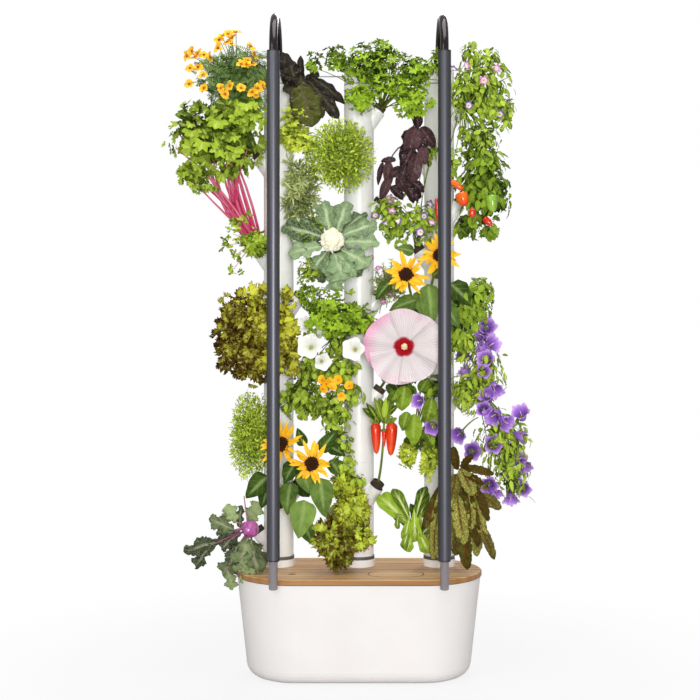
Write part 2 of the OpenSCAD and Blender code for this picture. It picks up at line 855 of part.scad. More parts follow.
// Open leaves round a pale head
module cauliflower() {
  reach = [20, -115, 5];
  color("darkseagreen") {
    sprout([0, 6], reach, [210, 90, 205]);
    translate(crown_centre([0, 6], reach) + grow * [-2, -30, -10]) sphere(r = 30 * grow);
  }
}

module pansy() {
  color("khaki") sprout([0, 2], [10, -90, 80], [85, 78, 115]);
}

module frilled_lettuce() {
  color("olivedrab") sprout([0, 0], [-5, -105, 35], [140, 108, 190]);
}

module torenias() {
  color("mediumorchid") {
    sprout([0, 7], [40, -60, -65], [76, 78, 105]);
    sprout([1, 6], [-10, -90, 50], [72, 78, 105]);
    sprout([1, 9], [65, -82, 25], [148, 105, 245]);
  }
}

// Leaves behind one very large dished flower
module hibiscus() {
  reach = [50, -28, 50];
  flower_r = 92 * grow;
  leaves = crown_centre([0, 3], reach);
  flower = leaves + grow * [6, -128, 57];
  dish = 16 * grow;
  color("lavenderblush") {
    sprout([0, 3], reach, [70, 66, 100]);
    stalk(leaves + grow * [0, -20, 15], flower + grow * [0, 6, 0], 3.5);
    translate(flower) rotate([90, 0, 0])
      rotate_extrude($fn = 40)
        polygon([[0, -8], [8, -8], [flower_r / 2, dish / 2 - 6], [flower_r, dish - 9],
          [flower_r, dish - 6], [flower_r / 2, dish / 2 - 2], [8, -2], [5, 20], [0, 22]]);
  }
}

// Bare stem, small leaves and two hanging fruits
module chilli_pepper() {
  reach = [11, -65, 175];
  leaves = crown_centre(chilli_port, reach);
  fruit_r = 12 * grow;
  fruit_h = 58 * grow;
  color("red") {
    sprout(chilli_port, reach, [66, 60, 95]);
    for (x = [-18, 17])
      translate(leaves + grow * [x, -20, -72]) {
        cylinder(r1 = 3, r2 = fruit_r, h = fruit_h, $fn = 24);
        translate([0, 0, fruit_h]) sphere(r = fruit_r, $fn = 24);
      }
  }
}

module purple_basil() {
  color("indigo") sprout([1, 8], [30, -90, -12], [130, 98, 185]);
}

module basil() {
  color("limegreen") {
    sprout([1, 2], [-7, -100, 10], [88, 98, 190]);
    sprout([1, 5], [35, -80, -5], [80, 88, 130]);
  }
}

module bok_choy() {
  color("mediumseagreen") sprout(bok_choy_port, [35, -95, 40], [112, 95, 160], stem_r = 8);
}

module pepper_bush() {
  color("orangered") sprout([1, 7], [55, -82, 25], [125, 98, 185]);
}

module bellflowers() {
  color("mediumpurple") sprout([1, 3], [100, -40, -15], [150, 112, 345]);
}

module red_sorrel() {
  color("darkgreen") sprout([1, 1], [25, -100, -75], [138, 105, 215]);
}

tank();
tank_pads();
lid_seal();
tank_lid();
access_cover();
lid_plug();
column_collars();
collar_seals();
left_column();
centre_column();
right_column();
drip_discs();
column_caps();
tie_rods();
riser_hoses();
manifold();
level_sensor();
pump_housing();
pump_cover();
pump_strainer();
pump_impeller();
left_lamp_housing();
left_led_board();
left_diffuser();
left_lamp_caps();
left_arch();
left_foot();
right_lamp_housing();
right_led_board();
right_diffuser();
right_lamp_caps();
right_arch();
right_foot();
pods();
kohlrabi_pod();
bok_choy_pod();
chilli_pod();
marigold();
red_celery();
leaf_lettuce();
cress();
kohlrabi();
red_romaine();
rosemary();
parsley();
petunia();
sunflowers();
cauliflower();
pansy();
frilled_lettuce();
torenias();
hibiscus();
chilli_pepper();
purple_basil();
basil();
bok_choy();
pepper_bush();
bellflowers();
red_sorrel();
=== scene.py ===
# %% [markdown]
# # A vertical hydroponic garden
# A white water tank with a wooden lid carries three columns of stacked growing modules. Two dark lamp bars
# stand at the rim and arch back onto the outer columns, and thirty plants grow out of the slanted ports.
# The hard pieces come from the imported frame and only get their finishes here. The plants are the real work
# of this lesson: every leaf, petal and fruit is a small surface worked out with numpy.

import bpy
import numpy as np
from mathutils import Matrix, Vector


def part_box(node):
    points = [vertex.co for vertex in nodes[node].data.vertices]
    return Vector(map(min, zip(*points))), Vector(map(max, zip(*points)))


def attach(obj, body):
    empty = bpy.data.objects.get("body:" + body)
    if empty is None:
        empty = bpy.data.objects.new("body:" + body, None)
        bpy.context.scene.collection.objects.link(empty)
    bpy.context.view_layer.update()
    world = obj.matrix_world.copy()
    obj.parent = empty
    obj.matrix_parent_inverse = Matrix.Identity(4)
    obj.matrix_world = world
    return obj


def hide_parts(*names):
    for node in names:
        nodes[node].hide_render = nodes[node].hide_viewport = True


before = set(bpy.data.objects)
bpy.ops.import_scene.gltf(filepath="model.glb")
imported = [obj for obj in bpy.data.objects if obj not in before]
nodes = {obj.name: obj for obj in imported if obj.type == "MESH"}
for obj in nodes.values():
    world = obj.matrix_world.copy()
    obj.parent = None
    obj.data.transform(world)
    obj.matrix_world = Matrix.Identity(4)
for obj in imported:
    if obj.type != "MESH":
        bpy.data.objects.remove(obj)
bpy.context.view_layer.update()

# %% [markdown]
# ## Camera
# The picture was taken level with the upper part of the plants, straight from the front, with a long lens.
# A level camera keeps upright things upright. The small lens shift sets the object a little to the right and
# above the middle of the frame, as in the picture, without tilting the camera.
# `spot` turns a place in the picture into a place on the model, in millimetres: it follows the line of sight
# to a given depth, so a flower can be put where the picture shows it.

# %% Camera
FOCUS, FRAME_PX, SENSOR = 1255.07, 700.0, 36
EYE_BACK, EYE_UP = 3126.85, 840.49
AXIS_X, AXIS_Y = 358.9, 335.15

scene = bpy.context.scene
camera = bpy.data.objects.new("camera", bpy.data.cameras.new("camera"))
scene.collection.objects.link(camera)
camera.location = (0, -EYE_BACK / 1000, EYE_UP / 1000)
camera.rotation_euler = (np.pi / 2, 0, 0)
camera.data.sensor_width = SENSOR
camera.data.lens = SENSOR * FOCUS / FRAME_PX
camera.data.shift_x = (FRAME_PX / 2 - AXIS_X) / FRAME_PX
camera.data.shift_y = (AXIS_Y - FRAME_PX / 2) / FRAME_PX
scene.camera = camera


def spot(across, down, depth):
    """Model point in mm at a depth along Y: the sideways and downward offsets from the lens axis grow with
    the distance from the eye."""
    across, down, depth = np.broadcast_arrays(*(np.asarray(a, float) for a in (across, down, depth)))
    reach = (EYE_BACK + depth) / FOCUS
    return np.stack([(across - AXIS_X) * reach, depth, EYE_UP - (down - AXIS_Y) * reach], -1)


print("lens", round(camera.data.lens, 2), "mm; the lid's front edge is at", spot(359, 585, -150).round(1))

# %% [markdown]
# ## A small language for finishes
# A finish is a shader made of nodes. To keep the lines readable, `Wire` wraps an output socket, so that
# sums, differences and products of wires can be written as Python expressions. Its method `node` adds any
# other node. Colours never pass through Math nodes: `mix` blends them. They are written as display colours,
# two hex digits each for red, green and blue.

# %% Wires
def paint(colour):
    """Linear colour of a display colour such as #ff8000. A wire stays as it is."""
    if isinstance(colour, Wire):
        return colour
    c = np.array([int(colour[k:k + 2], 16) for k in (1, 3, 5)]) / 255
    return (*np.where(c <= 0.04045, c / 12.92, ((c + 0.055) / 1.055) ** 2.4).tolist(), 1.0)


class Wire:
    """One output socket of a material; arithmetic on wires adds Math nodes to the same material."""

    def __init__(self, tree, socket=None):
        self.tree, self.socket = tree, socket

    def node(self, kind, inputs=None, out=0, **settings):
        """Any node: its kind, its inputs, the output to go on from, and its settings."""
        made = self.tree.nodes.new("ShaderNode" + kind)
        for name, value in settings.items():
            setattr(made, name, value)
        for name, value in (inputs or {}).items():
            if isinstance(value, Wire):
                self.tree.links.new(value.socket, made.inputs[name])
            else:
                made.inputs[name].default_value = value
        return Wire(self.tree, made.outputs[out])

    def math(self, operation, *others):
        """A Math node with this wire as its first value."""
        return self.node("Math", dict(enumerate((self, *others))), operation=operation)

    def __add__(self, other):
        return self.math("ADD", other)

    __radd__ = __add__

    def __mul__(self, other):
        return self.math("MULTIPLY", other)

    __rmul__ = __mul__

    def __sub__(self, other):
        return self.math("SUBTRACT", other)

    def __rsub__(self, other):
        return self * -1.0 + other

    def step(self, low, high):
        """0 below low, 1 above high and a smooth rise between; high below low gives a fall."""
        span = {"Value": self, "From Min": low, "From Max": high}
        return self.node("MapRange", span, interpolation_type="SMOOTHSTEP")

    def mix(self, first, second):
        """Blend of two colours by this wire."""
        return self.node("Mix", {0: self, 6: paint(first), 7: paint(second)}, out=2, data_type="RGBA")

    def noise(self, scale, detail=2.0, **more):
        """Noise at the place that this wire holds."""
        return self.node("TexNoise", {"Vector": self, "Scale": scale, "Detail": detail, **more})

    def stretched(self, scale):
        """The place that this wire holds, scaled along X, Y and Z."""
        return self.node("Mapping", {"Vector": self, "Scale": scale})

    def axis(self, name):
        """One coordinate of the place that this wire holds."""
        return self.node("SeparateXYZ", {0: self}, out=name)


print("mid grey as a linear colour:", np.round(paint("#808080"), 3).tolist())

# %% [markdown]
# A finish starts from the object's own coordinates in metres, so a grain or a patch keeps its real size on every
# piece. It ends in one Principled shader with a colour, a roughness and a bump. Image textures could do the
# same, but they need unwrapping and blur up close.

# %% Starting and completing a finish
def new_finish(name):
    """A material and the wire of its object coordinates, from which its expressions start."""
    material = bpy.data.materials.new(name)
    material.use_nodes = True
    return material, Wire(material.node_tree).node("TexCoord", out="Object")


def complete(material, colour, rough, height, bump, depth, fixed=None, invert=False):
    """Joins the colour, the roughness and a bump of the height to the shader and sets its fixed values."""
    shader = material.node_tree.nodes["Principled BSDF"]
    dent = height.node("Bump", {"Strength": bump, "Distance": depth, "Height": height}, invert=invert)
    for socket, wire in (("Base Color", colour), ("Roughness", rough), ("Normal", dent)):
        material.node_tree.links.new(wire.socket, shader.inputs[socket])
    for socket, value in (fixed or {}).items():
        shader.inputs[socket].default_value = value
    return material


print("finishes can be made; materials so far:", len(bpy.data.materials))

# %% [markdown]
# ## Light
# The object stands under soft studio light. A lamp close to the camera gives the even, flat light of the
# picture, a weaker key from the left shapes the round pieces, and two lamps from above and behind keep the
# top and the far side clear.
# The world is white where the camera sees it, and dimmer as a light and in reflections, so white plastic keeps
# its shading instead of clipping and dark leaves don't turn grey.

# %% Light
DIFFUSE_SKY, GLOSSY_SKY, SEEN_SKY = 0.4, 0.36, 1.0
scene.view_settings.view_transform = "Standard"
scene.world = bpy.data.worlds.new("studio")
scene.world.use_nodes = True
tree = scene.world.node_tree
glossy, direct, through = (Wire(tree).node("LightPath", out=f"Is {ray} Ray")
                           for ray in ("Glossy", "Camera", "Transmission"))
unseen = glossy * (GLOSSY_SKY - DIFFUSE_SKY) + DIFFUSE_SKY
level = unseen + direct.math("MAXIMUM", through) * (SEEN_SKY - unseen)
tree.links.new(level.socket, tree.nodes["Background"].inputs["Strength"])
tree.nodes["Background"].inputs["Color"].default_value = (1, 1, 1, 1)

for name, place, aim, size, watts in (("front", (0.22, -4.2, 0.98), (0, 0, 0.85), 1.0, 104),
                                      ("key", (-1.9, -2.6, 2.3), (0, 0, 0.85), 1.4, 18),
                                      ("overhead", (0.2, -0.6, 3.4), (0, 0, 0.9), 2.2, 54),
                                      ("behind", (0.4, 2.6, 3.0), (0, 0, 0.9), 1.4, 42)):
    lamp = bpy.data.objects.new(name, bpy.data.lights.new(name, "AREA"))
    lamp.data.shape, lamp.data.size, lamp.data.energy = "SQUARE", size, watts
    lamp.location = place
    x, y, z = np.subtract(aim, place)
    lamp.rotation_euler = (np.arctan2(np.hypot(x, y), -z), 0, np.arctan2(-x, y))
    scene.collection.objects.link(lamp)

# %% [markdown]
# ## Moulded plastic, rubber and metal
# Moulded plastic is never one flat colour: it has faint clouds in its tone, a fine grain from the mould and a
# gloss that wavers a little. One function gives all these hard finishes, with the grain's size, the depth of
# its bump and the strength of its coat as its knobs.

# %% Hard finishes
def hard_finish(name, colour, cloud, gloss, metal=0.0, grain=900.0, bump=0.04, coat=0.0, alpha=1.0,
                stretch=(1, 1, 1)):
    """Plastic, rubber or metal: the base colour drifts to the cloud colour by a slow noise, the roughness
    wavers by the same noise, and a fine noise gives the surface its grain. Stretch draws both out."""
    material, place = new_finish(name)
    place = place.stretched(stretch)
    slow, fine = place.noise(7.0, 4.0), place.noise(grain)
    drift = (slow * 0.75 + fine * 0.25).step(0.3, 0.7)
    fixed = {"Metallic": metal, "Coat Weight": coat, "Coat Roughness": 0.12, "Alpha": alpha}
    return complete(material, drift.mix(colour, cloud), drift * 0.12 + (gloss - 0.06), fine, bump, 0.0004, fixed)


dressed = []


def dress(material, *names):
    """Gives CAD nodes a finish through their own material slots."""
    dressed.extend(names)
    for name in names:
        for held in nodes[name].material_slots:
            held.material = material


# Painted light: the tank and the columns are one white plastic, but the columns' white is set lighter to make up
# for the plants' shade on them, and the tank's darker against the strong light on its front.
dress(hard_finish("column_white_painted_lighter", "#faf8f5", "#fdfcfa", 0.32),
      "left_column", "centre_column", "right_column", "column_collars", "column_caps")
dress(hard_finish("tank_white_painted_darker", "#e0dcda", "#e5e1df", 0.42, grain=1400), "tank")
dress(hard_finish("ring_rubber", "#545450", "#686862", 0.55), "collar_seals")
# The lid seal is dark rubber, and its dark line under the lid is also painted shadow in the gap between lid and
# tank.
dress(hard_finish("seal_rubber", "#261e1a", "#342a24", 0.6), "lid_seal")
dress(hard_finish("pad_rubber", "#464646", "#585856", 0.7), "tank_pads")
dress(hard_finish("fitting_grey", "#96989a", "#a8aaac", 0.45), "manifold", "drip_discs", "level_sensor")
dress(hard_finish("hose_milky", "#d6dadc", "#e4e7e8", 0.3), "riser_hoses")
dress(hard_finish("pump_black", "#28282b", "#36363a", 0.5), "pump_housing", "pump_cover", "pump_strainer")
dress(hard_finish("impeller_white", "#e2e2e0", "#ececeb", 0.35), "pump_impeller")
dress(hard_finish("tie_grey", "#787a7e", "#8c8e92", 0.35, metal=0.8), "tie_rods")
dress(hard_finish("pod_brown", "#4a3a2a", "#34271c", 0.75, grain=260, bump=0.5),
      "pods", "kohlrabi_pod", "bok_choy_pod", "chilli_pod")
print("dressed", len(dressed), "CAD nodes so far")

# %% [markdown]
# ## Lamps
# The lamp housings are extruded tubes with a dark anodised skin. Drawing leaves faint lines along the tube,
# so the noise is stretched along Z. The arch is the same metal polished, and the foot is a smoky clear tube.

# %% Lamps
for part, made in (
        ("lamp_housing", hard_finish("bar_anodised", "#5c5c63", "#505057", 0.42, metal=0.75, grain=500,
                                     stretch=(1, 1, 0.02))),
        ("arch", hard_finish("arch_polished", "#3e393c", "#322e30", 0.2, metal=0.85, coat=0.3, grain=400,
                             stretch=(1, 1, 0.2))),
        ("lamp_caps", hard_finish("cap_black", "#161618", "#202022", 0.4)),
        ("diffuser", hard_finish("diffuser_frosted", "#f4f3ec", "#faf9f4", 0.5)),
        ("led_board", hard_finish("board_cream", "#ece6ce", "#ded6ba", 0.4, grain=120)),
        ("foot", hard_finish("foot_smoky", "#80797e", "#90898e", 0.16, coat=0.5, alpha=0.8))):
    dress(made, f"left_{part}", f"right_{part}")
print("dressed", len(dressed), "CAD nodes so far")

# %% [markdown]
# ## Wood
# The lid is a board of oiled wood with its grain along the length. Long streaks come from a noise that is
# stretched along X, growth lines from a wave that the same noise bends, and short dark pores from a finer,
# even more stretched noise. The cover is cut from the same board, so its grain runs on. The plug is turned
# from a darker offcut.

# %% Wood
TONES, SAWN_AND_SHADED, GAP_SHADOW = ("#ebc18a", "#cd9c65", "#764c2a"), "#8e6038", "#28180e"
GRAIN, PORES = (1.3, 26, 20), (22, 620, 400)


def wood_finish(name, pale, mid, dark, box=None, rim=False):
    """Wood: streaks, bent growth lines and pores along X blend three tones, and the pores dent the surface. The
    sawn edge below the top of the box is darker, in part because end grain soaks up oil and in part as painted
    shade on the sides. The rim of an oval piece gets a dark line: painted shadow in the gap round it."""
    material, place = new_finish(name)
    streak = place.stretched(GRAIN)
    slow = streak.noise(1.4, 6.0, Distortion=0.6)
    bent = {"Vector": streak, "Scale": 0.5, "Distortion": 9.0, "Detail": 4.0}
    lines = streak.node("TexWave", bent, out="Fac", wave_type="BANDS", bands_direction="Y")
    pores = place.stretched(PORES).noise(1.0).step(0.6, 0.72)
    tone = slow.step(0.3, 0.7).mix(mid, pale)
    tone = (lines.step(0.3, 1.0) * 0.4).mix(tone, dark)
    tone = (pores * 0.5).mix(tone, dark)
    if box is not None:
        low, high = np.array(box)
        top = float(high[2])
        # In part painted shade: the sides below the top are darker than the top.
        tone = (place.axis("Z").step(top - 0.0006, top - 0.0016) * 0.8).mix(tone, SAWN_AND_SHADED)
    if rim:
        middle, (long, wide) = ((high + low) / 2).tolist(), ((high - low) / 2).tolist()[:2]
        x, y = ((place.axis(name) - middle[k]).math("ABSOLUTE") for k, name in enumerate("XY"))
        x = (x - (long - wide)).math("MAXIMUM", 0.0)
        # Painted shadow: a dark line along the rim of the oval, where the gap round the cover lies in shade.
        tone = (x * x + y * y).math("SQRT").step(wide - 0.0034, wide - 0.0014).mix(tone, GAP_SHADOW)
    fixed = {"Specular IOR Level": 0.15, "Coat Weight": 0.06, "Coat Roughness": 0.25}
    return complete(material, tone, slow * 0.2 + 0.26, pores, 0.25, 0.0006, fixed, invert=True)


dress(wood_finish("lid_board", *TONES, box=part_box("tank_lid")), "tank_lid")
dress(wood_finish("cover_board", *TONES, box=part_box("access_cover"), rim=True), "access_cover")
dress(wood_finish("plug_offcut", "#785232", "#5c3c24", "#3a2416"), "lid_plug")
print("dressed", len(dressed), "of", len(nodes), "CAD nodes; plants stand for the others")

# %% [markdown]
# ## Surfaces for plants
# A leaf is a thin sheet, so it is a grid of points: one parameter runs from its base to its tip and the other
# from edge to edge. A stem is a circle carried along a curve, and a fruit is a profile turned about an axis.
# All three come out as arrays of grids, one grid for each leaf, so that a whole plant is a few array sums.
# A `Bunch` gathers such grids into one mesh. It also keeps two things for the finishes: the place on the blade
# as a UV map, and one tint for each leaf, so that no two neighbours have quite the same green.

# %% Gathering surfaces into a mesh
BODIES = {"kohlrabi": "kohlrabi", "bok_choy": "bok_choy", "chilli_pepper": "chilli"}
METRES = 0.001


class Bunch:
    """Surfaces of one piece: arrays of grids (count, rows, columns, 3) in mm. A ring's last column joins its
    first."""

    def __init__(self):
        self.points, self.quads, self.blade, self.tint, self.total = [], [], [], [], 0

    def add(self, grids, tint=0.5, ring=False):
        """Takes in a set of grids and one tint for each of them."""
        count, rows, cols = grids.shape[:3]
        row, col = np.meshgrid(np.arange(rows - 1), np.arange(cols if ring else cols - 1), indexing="ij")
        after = (col + 1) % cols
        corners = [row * cols + col, (row + 1) * cols + col, (row + 1) * cols + after, row * cols + after]
        first = self.total + np.arange(count) * rows * cols
        self.quads.append((first[:, None, None] + np.stack(corners, -1).reshape(-1, 4)).reshape(-1, 4))
        self.points.append(grids.reshape(-1, 3))
        u, v = np.meshgrid(np.linspace(0, 1, rows), np.linspace(0, 1, cols), indexing="ij")
        self.blade.append(np.broadcast_to(np.stack([u, v], -1), (count, rows, cols, 2)).reshape(-1, 2))
        self.tint.append(np.repeat(np.broadcast_to(tint, count), rows * cols))
        self.total += count * rows * cols
        return self

    def rings(self, grids, tint=0.5):
        """Takes in grids that close round: stems, fruits and bells."""
        return self.add(grids, tint, ring=True)

    def make(self, name, finish, node, replaces=True):
        """One mesh of all that was gathered, which rides on the node's body and stands for the node. Points that
        share a place, as at the pole of a round body, are welded, and their quads become triangles."""
        points, quads = np.concatenate(self.points) * METRES, np.concatenate(self.quads)
        keep = np.ones(quads.shape, bool)
        keep[(points[quads[:, 0]] == points[quads[:, 3]]).all(-1), 3] = False
        keep[(points[quads[:, 1]] == points[quads[:, 2]]).all(-1), 2] = False
        corners, ends = quads[keep], np.cumsum(keep.sum(1))
        points, first, welded = np.unique(points, axis=0, return_index=True, return_inverse=True)
        mesh = bpy.data.meshes.new(name)
        mesh.vertices.add(len(points))
        mesh.vertices.foreach_set("co", points.astype(np.float32).ravel())
        mesh.loops.add(len(corners))
        mesh.loops.foreach_set("vertex_index", welded.ravel()[corners].astype(np.int32))
        mesh.polygons.add(len(quads))
        mesh.polygons.foreach_set("loop_start", np.concatenate([[0], ends[:-1]]).astype(np.int32))
        mesh.polygons.foreach_set("use_smooth", np.ones(len(quads), bool))
        mesh.update(calc_edges=True)
        blade = mesh.uv_layers.new(name="blade")
        blade.data.foreach_set("uv", np.concatenate(self.blade)[corners].astype(np.float32).ravel())
        tint = mesh.attributes.new("tint", "FLOAT", "POINT")
        tint.data.foreach_set("value", np.concatenate(self.tint)[first].astype(np.float32))
        mesh.materials.append(finish)
        piece = bpy.data.objects.new(name, mesh)
        scene.collection.objects.link(piece)
        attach(piece, BODIES.get(node, "base"))
        if replaces:
            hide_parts(node)
        print(f"{name}: {len(quads)} quads")
        return piece


# %% [markdown]
# Each leaf has three directions: along it, out of its face and across it. The helpers here work on whole arrays
# of directions, so no Python loop runs over leaves or points.

# %% Directions
FULL_TURN = 2 * np.pi


def unit(a):
    """Vectors brought to length one."""
    return a / np.maximum(np.linalg.norm(a, axis=-1, keepdims=True), 1e-9)


def square_to(axis, hint):
    """Unit vectors square to an axis and as near as they can be to a hint."""
    hint = np.broadcast_to(np.asarray(hint, float), axis.shape)
    return unit(hint - (hint * axis).sum(-1, keepdims=True) * axis)


def each(count, *values):
    """Numbers or lists spread over count leaves, ready to be multiplied with grids."""
    return [np.broadcast_to(np.asarray(a, float), count)[:, None, None] for a in values]


def axes(along, face):
    """Directions along, out of and across leaves, ready to be multiplied with grids."""
    return [way[:, None, None] for way in (along, face, np.cross(face, along))]


print("square to Z and nearest to X + Z:", square_to(np.array([0.0, 0, 1]), [1, 0, 1]))

# %% [markdown]
# A blade bends along its length as an arc, folds along its midrib and ripples at its edges. Its outline is a
# power of a sine, which can be slid towards the base for a heart or towards the tip for a spoon. One modelled
# leaf could be copied instead, but then all leaves of a plant look alike. Here each one has its own numbers.

# %% Blades
def blades(base, along, face, length, width, widest=0.45, full=0.8, rows=7, cols=5, fold=0.12, arch=0.0,
           wave=0.0, waves=3.0, teeth=0.0, phase=0.0, quilt=0.0, lobe=0.0):
    """Leaves: base + along·(L·sin(b·u)/b) - face·(L·(1 - cos(b·u))/b) + across·(v·half) + normal·lift, where
    b is the bend, half is the half width (a power of a sine of u, with lobes and teeth) and lift folds the
    blade, ripples its edges and quilts it between the side veins."""
    length, width, fold, arch, wave, phase = each(len(base), length, width, fold, arch, wave, phase)
    u, v = np.linspace(0, 1, rows)[None, :, None], np.linspace(-1, 1, cols)[None, None, :]
    half = np.sin(np.pi * u ** (np.log(0.5) / np.log(widest))).clip(0) ** full + 0.03
    half = width / 2 * half * (1 + teeth * np.cos(np.pi * np.arange(rows))[None, :, None])
    half = half * (1 + lobe * np.sin(FULL_TURN * 2.4 * u + phase + 1.7 * np.sign(v)))
    bend = np.where(np.abs(arch) < 1e-3, 1e-3, arch)
    run, drop = length * np.sin(bend * u) / bend, length * (1 - np.cos(bend * u)) / bend
    ripple = np.sin(FULL_TURN * waves * u + phase + 2 * np.sign(v))
    lift = fold * np.abs(v) * half + wave * width * v ** 2 * ripple
    lift = lift + quilt * width * (1 - v ** 2) * np.abs(v) * np.sin(FULL_TURN * (5 * u - 1.2 * np.abs(v)))
    a, f, s = axes(along, face)
    normal = f * np.cos(bend * u)[..., None] + a * np.sin(bend * u)[..., None]
    return (base[:, None, None] + a * run[..., None] - f * drop[..., None] + s * (v * half)[..., None]
            + normal * lift[..., None])


print("a test blade has", blades(np.zeros((1, 3)), *np.eye(3)[:2, None], 30, 10).shape, "as its shape")

# %% [markdown]
# A stem is a tube that bends once on its way from the pod to a leaf. A bevelled curve could do it, but a circle
# carried along a parabola puts all stems of a plant into one mesh, with closed ends.

# %% Stems
def circle(cols):
    """Angles evenly round a ring."""
    return np.linspace(0, FULL_TURN, cols, endpoint=False)


def stalks(start, mid, end, thick, thin, rows=7, cols=6):
    """Stems: the centre line is (1-t)²·start + 2t(1-t)·mid + t²·end, and a circle that shrinks from thick to
    thin is carried along it and closed at both ends."""
    start, mid, end = np.broadcast_arrays(*(np.atleast_2d(np.asarray(p, float)) for p in (start, mid, end)))
    t = np.concatenate([[0], np.linspace(0, 1, rows), [1]])[None, :, None]
    a, b, c = start[:, None], mid[:, None], end[:, None]
    line = (1 - t) ** 2 * a + 2 * t * (1 - t) * b + t ** 2 * c
    way = unit((1 - t) * (b - a) + t * (c - b))
    first = square_to(way, [0.92, -0.31, 0.23])
    second = np.cross(way, first)
    turn = circle(cols)[None, None, :, None]
    thick, thin = each(len(start), thick, thin)
    shut = np.pad(np.ones(rows), 1)[None, :, None]
    girth = ((thick * (1 - t) + thin * t) * shut)[..., None]
    return line[:, :, None] + girth * (np.cos(turn) * first[:, :, None] - np.sin(turn) * second[:, :, None])


print("a test stem has", stalks([0, 0, 0], [0, 0, 9], [9, 0, 9], 2, 1).shape, "as its shape")

# %% [markdown]
# Fruits, growing plugs and flower hearts are round. A profile turned about an axis is the shortest way to them,
# and a few shallow grooves keep them from looking lathe-made.

# %% Turned bodies
def turned(centre, axis, radius, height, cols=14, lobes=0, groove=0.0):
    """Round bodies: a profile of radii and heights is turned about each axis and closed at both
    ends; lobes press grooves into it: radius·(1 + groove·cos(lobes·angle))."""
    centre, axis = np.broadcast_arrays(np.atleast_2d(np.asarray(centre, float)), np.asarray(axis, float))
    axis = unit(axis)
    radius, height = (np.pad(np.atleast_2d(np.asarray(a, float)), ((0, 0), (1, 1)), mode)[:, :, None, None]
                      for a, mode in ((radius, "constant"), (height, "edge")))
    first = square_to(axis, [0.31, 0.22, 0.93])
    second = np.cross(axis, first)
    turn = circle(cols)[None, None, :, None]
    ring = np.cos(turn) * first[:, None, None] - np.sin(turn) * second[:, None, None]
    return (centre[:, None, None] + axis[:, None, None] * height
            + ring * radius * (1 + groove * np.cos(lobes * turn)))


print("a test plug has", turned([0, 0, 0], [0, 0, 1], [9, 9], [0, 12]).shape, "as its shape")

# %% [markdown]
# ## Ports and growing plugs
# Every plant starts in a pod that stands in a slanted port. `port` repeats the ports' places. A growing plug,
# a short fibrous block, fills each pod just under its rim, so the stems grow out of something.

# %% Ports and growing plugs
COLUMN_X = {"left": -203.0, "centre": 0.0, "right": 203.0}
COLUMN_Y, FIRST_MODULE, MODULE_RISE, MODULES = 50.0, 285, 118.5, 10
PORT_UP, PORT_OUT, PORT_TILT, CHILLI_TURN = 57, 48.0, np.radians(35), np.radians(25)
PLUG_SEAT, STEM_SEAT = 8, 9


def port(column, step, turn=0.0):
    """Mouth and direction of a module's port: even steps look left, odd ones right, turned towards the front."""
    side = 1.0 if step % 2 else -1.0
    flat = np.array([side * np.cos(turn), -np.sin(turn), 0.0])
    mouth = np.array([COLUMN_X[column], COLUMN_Y, FIRST_MODULE + MODULE_RISE * step + PORT_UP]) + PORT_OUT * flat
    return mouth, np.sin(PORT_TILT) * flat + np.array([0, 0, np.cos(PORT_TILT)])


def plugs(name, ports, node, replaces):
    """Growing plugs: a short cylinder with a domed, slightly lumpy top under each pod's rim."""
    mouths, ways = (np.array(part) for part in zip(*ports))
    profile = [13.8, 13.8, 12.5, 8, 0.2], [-8, 0.5, 2.5, 3.6, 4.0]
    body = turned(mouths + PLUG_SEAT * ways, ways, *profile, lobes=5, groove=0.03)
    return Bunch().rings(body).make(name, fibre, node, replaces)


fibre = hard_finish("plug_fibre", "#463424", "#2c2016", 0.85, grain=500, bump=1.0)
print("the lowest port on the left opens at", port("left", 0)[0].round(1))

# %% [markdown]
# ## Crowns of leaves
# A bush is an oval crown of leaves. Leaves could be scattered at random, but random places clump and leave
# holes. So their directions lie on a golden-angle spiral, and only the depth, the face and the tint are drawn at
# random.

# %% Crowns of leaves
GOLDEN_ANGLE = 2.399963


def bush(rng, count, centre, size, low=0.35, high=1.0, lift=0.35, droop=0.4, loose=0.35):
    """Leaves of an oval crown. Directions lie on a golden-angle spiral, so that every side is covered, and the
    crown's outline swells and shrinks by three slow sines. Faces look outwards, up and towards the lamps, and
    tips hang outwards. Returns places, directions, faces and tints; the tints are darker deep inside the crown,
    which is painted shade."""
    i = np.arange(count) + 0.5
    up, turn = 1 - 2 * i / count, i * GOLDEN_ANGLE
    flat = np.sqrt(1 - up ** 2)
    way = unit(np.stack([flat * np.cos(turn), flat * np.sin(turn), up], -1) + 0.16 * rng.normal(size=(count, 3)))
    swell = 1 + 0.09 * np.sin(way @ rng.normal(0, 3.0, (3, 3)) + rng.uniform(0, 6, 3)).sum(-1)
    share, half = rng.uniform(0, 1, count), np.asarray(size, float) / 2
    places = np.asarray(centre) + way * half * (swell * (low + (high - low) * share))[:, None]
    out = unit(way / half)
    face = unit(out + [0, -0.35, lift] + loose * rng.normal(size=out.shape))
    along = square_to(face, 0.7 * out + [0, -0.1, -droop] + loose * rng.normal(size=out.shape))
    # Painted shade: leaves deep inside the crown get a darker tint.
    return places, along, face, (0.4 * share + 0.75 * rng.uniform(0, 1, count) - 0.08).clip(0, 1)


test_bush = bush(np.random.default_rng(1), 500, (0, 0, 0), (100, 80, 60))
print("a test bush reaches", np.abs(test_bush[0]).max(0).round(1), "mm from its middle")

# %% [markdown]
# ## Leaf and stem finishes
# A leaf is darker or lighter by its tint and by slow patches; on a crown the tint also holds painted shade, darker
# deep inside. The midrib and the side veins are drawn from the place on the blade, and some leaves have an edge of
# another colour. A painted leaf could show veins too, but it would repeat from leaf to leaf. A stem goes over from
# its root colour to its top colour.

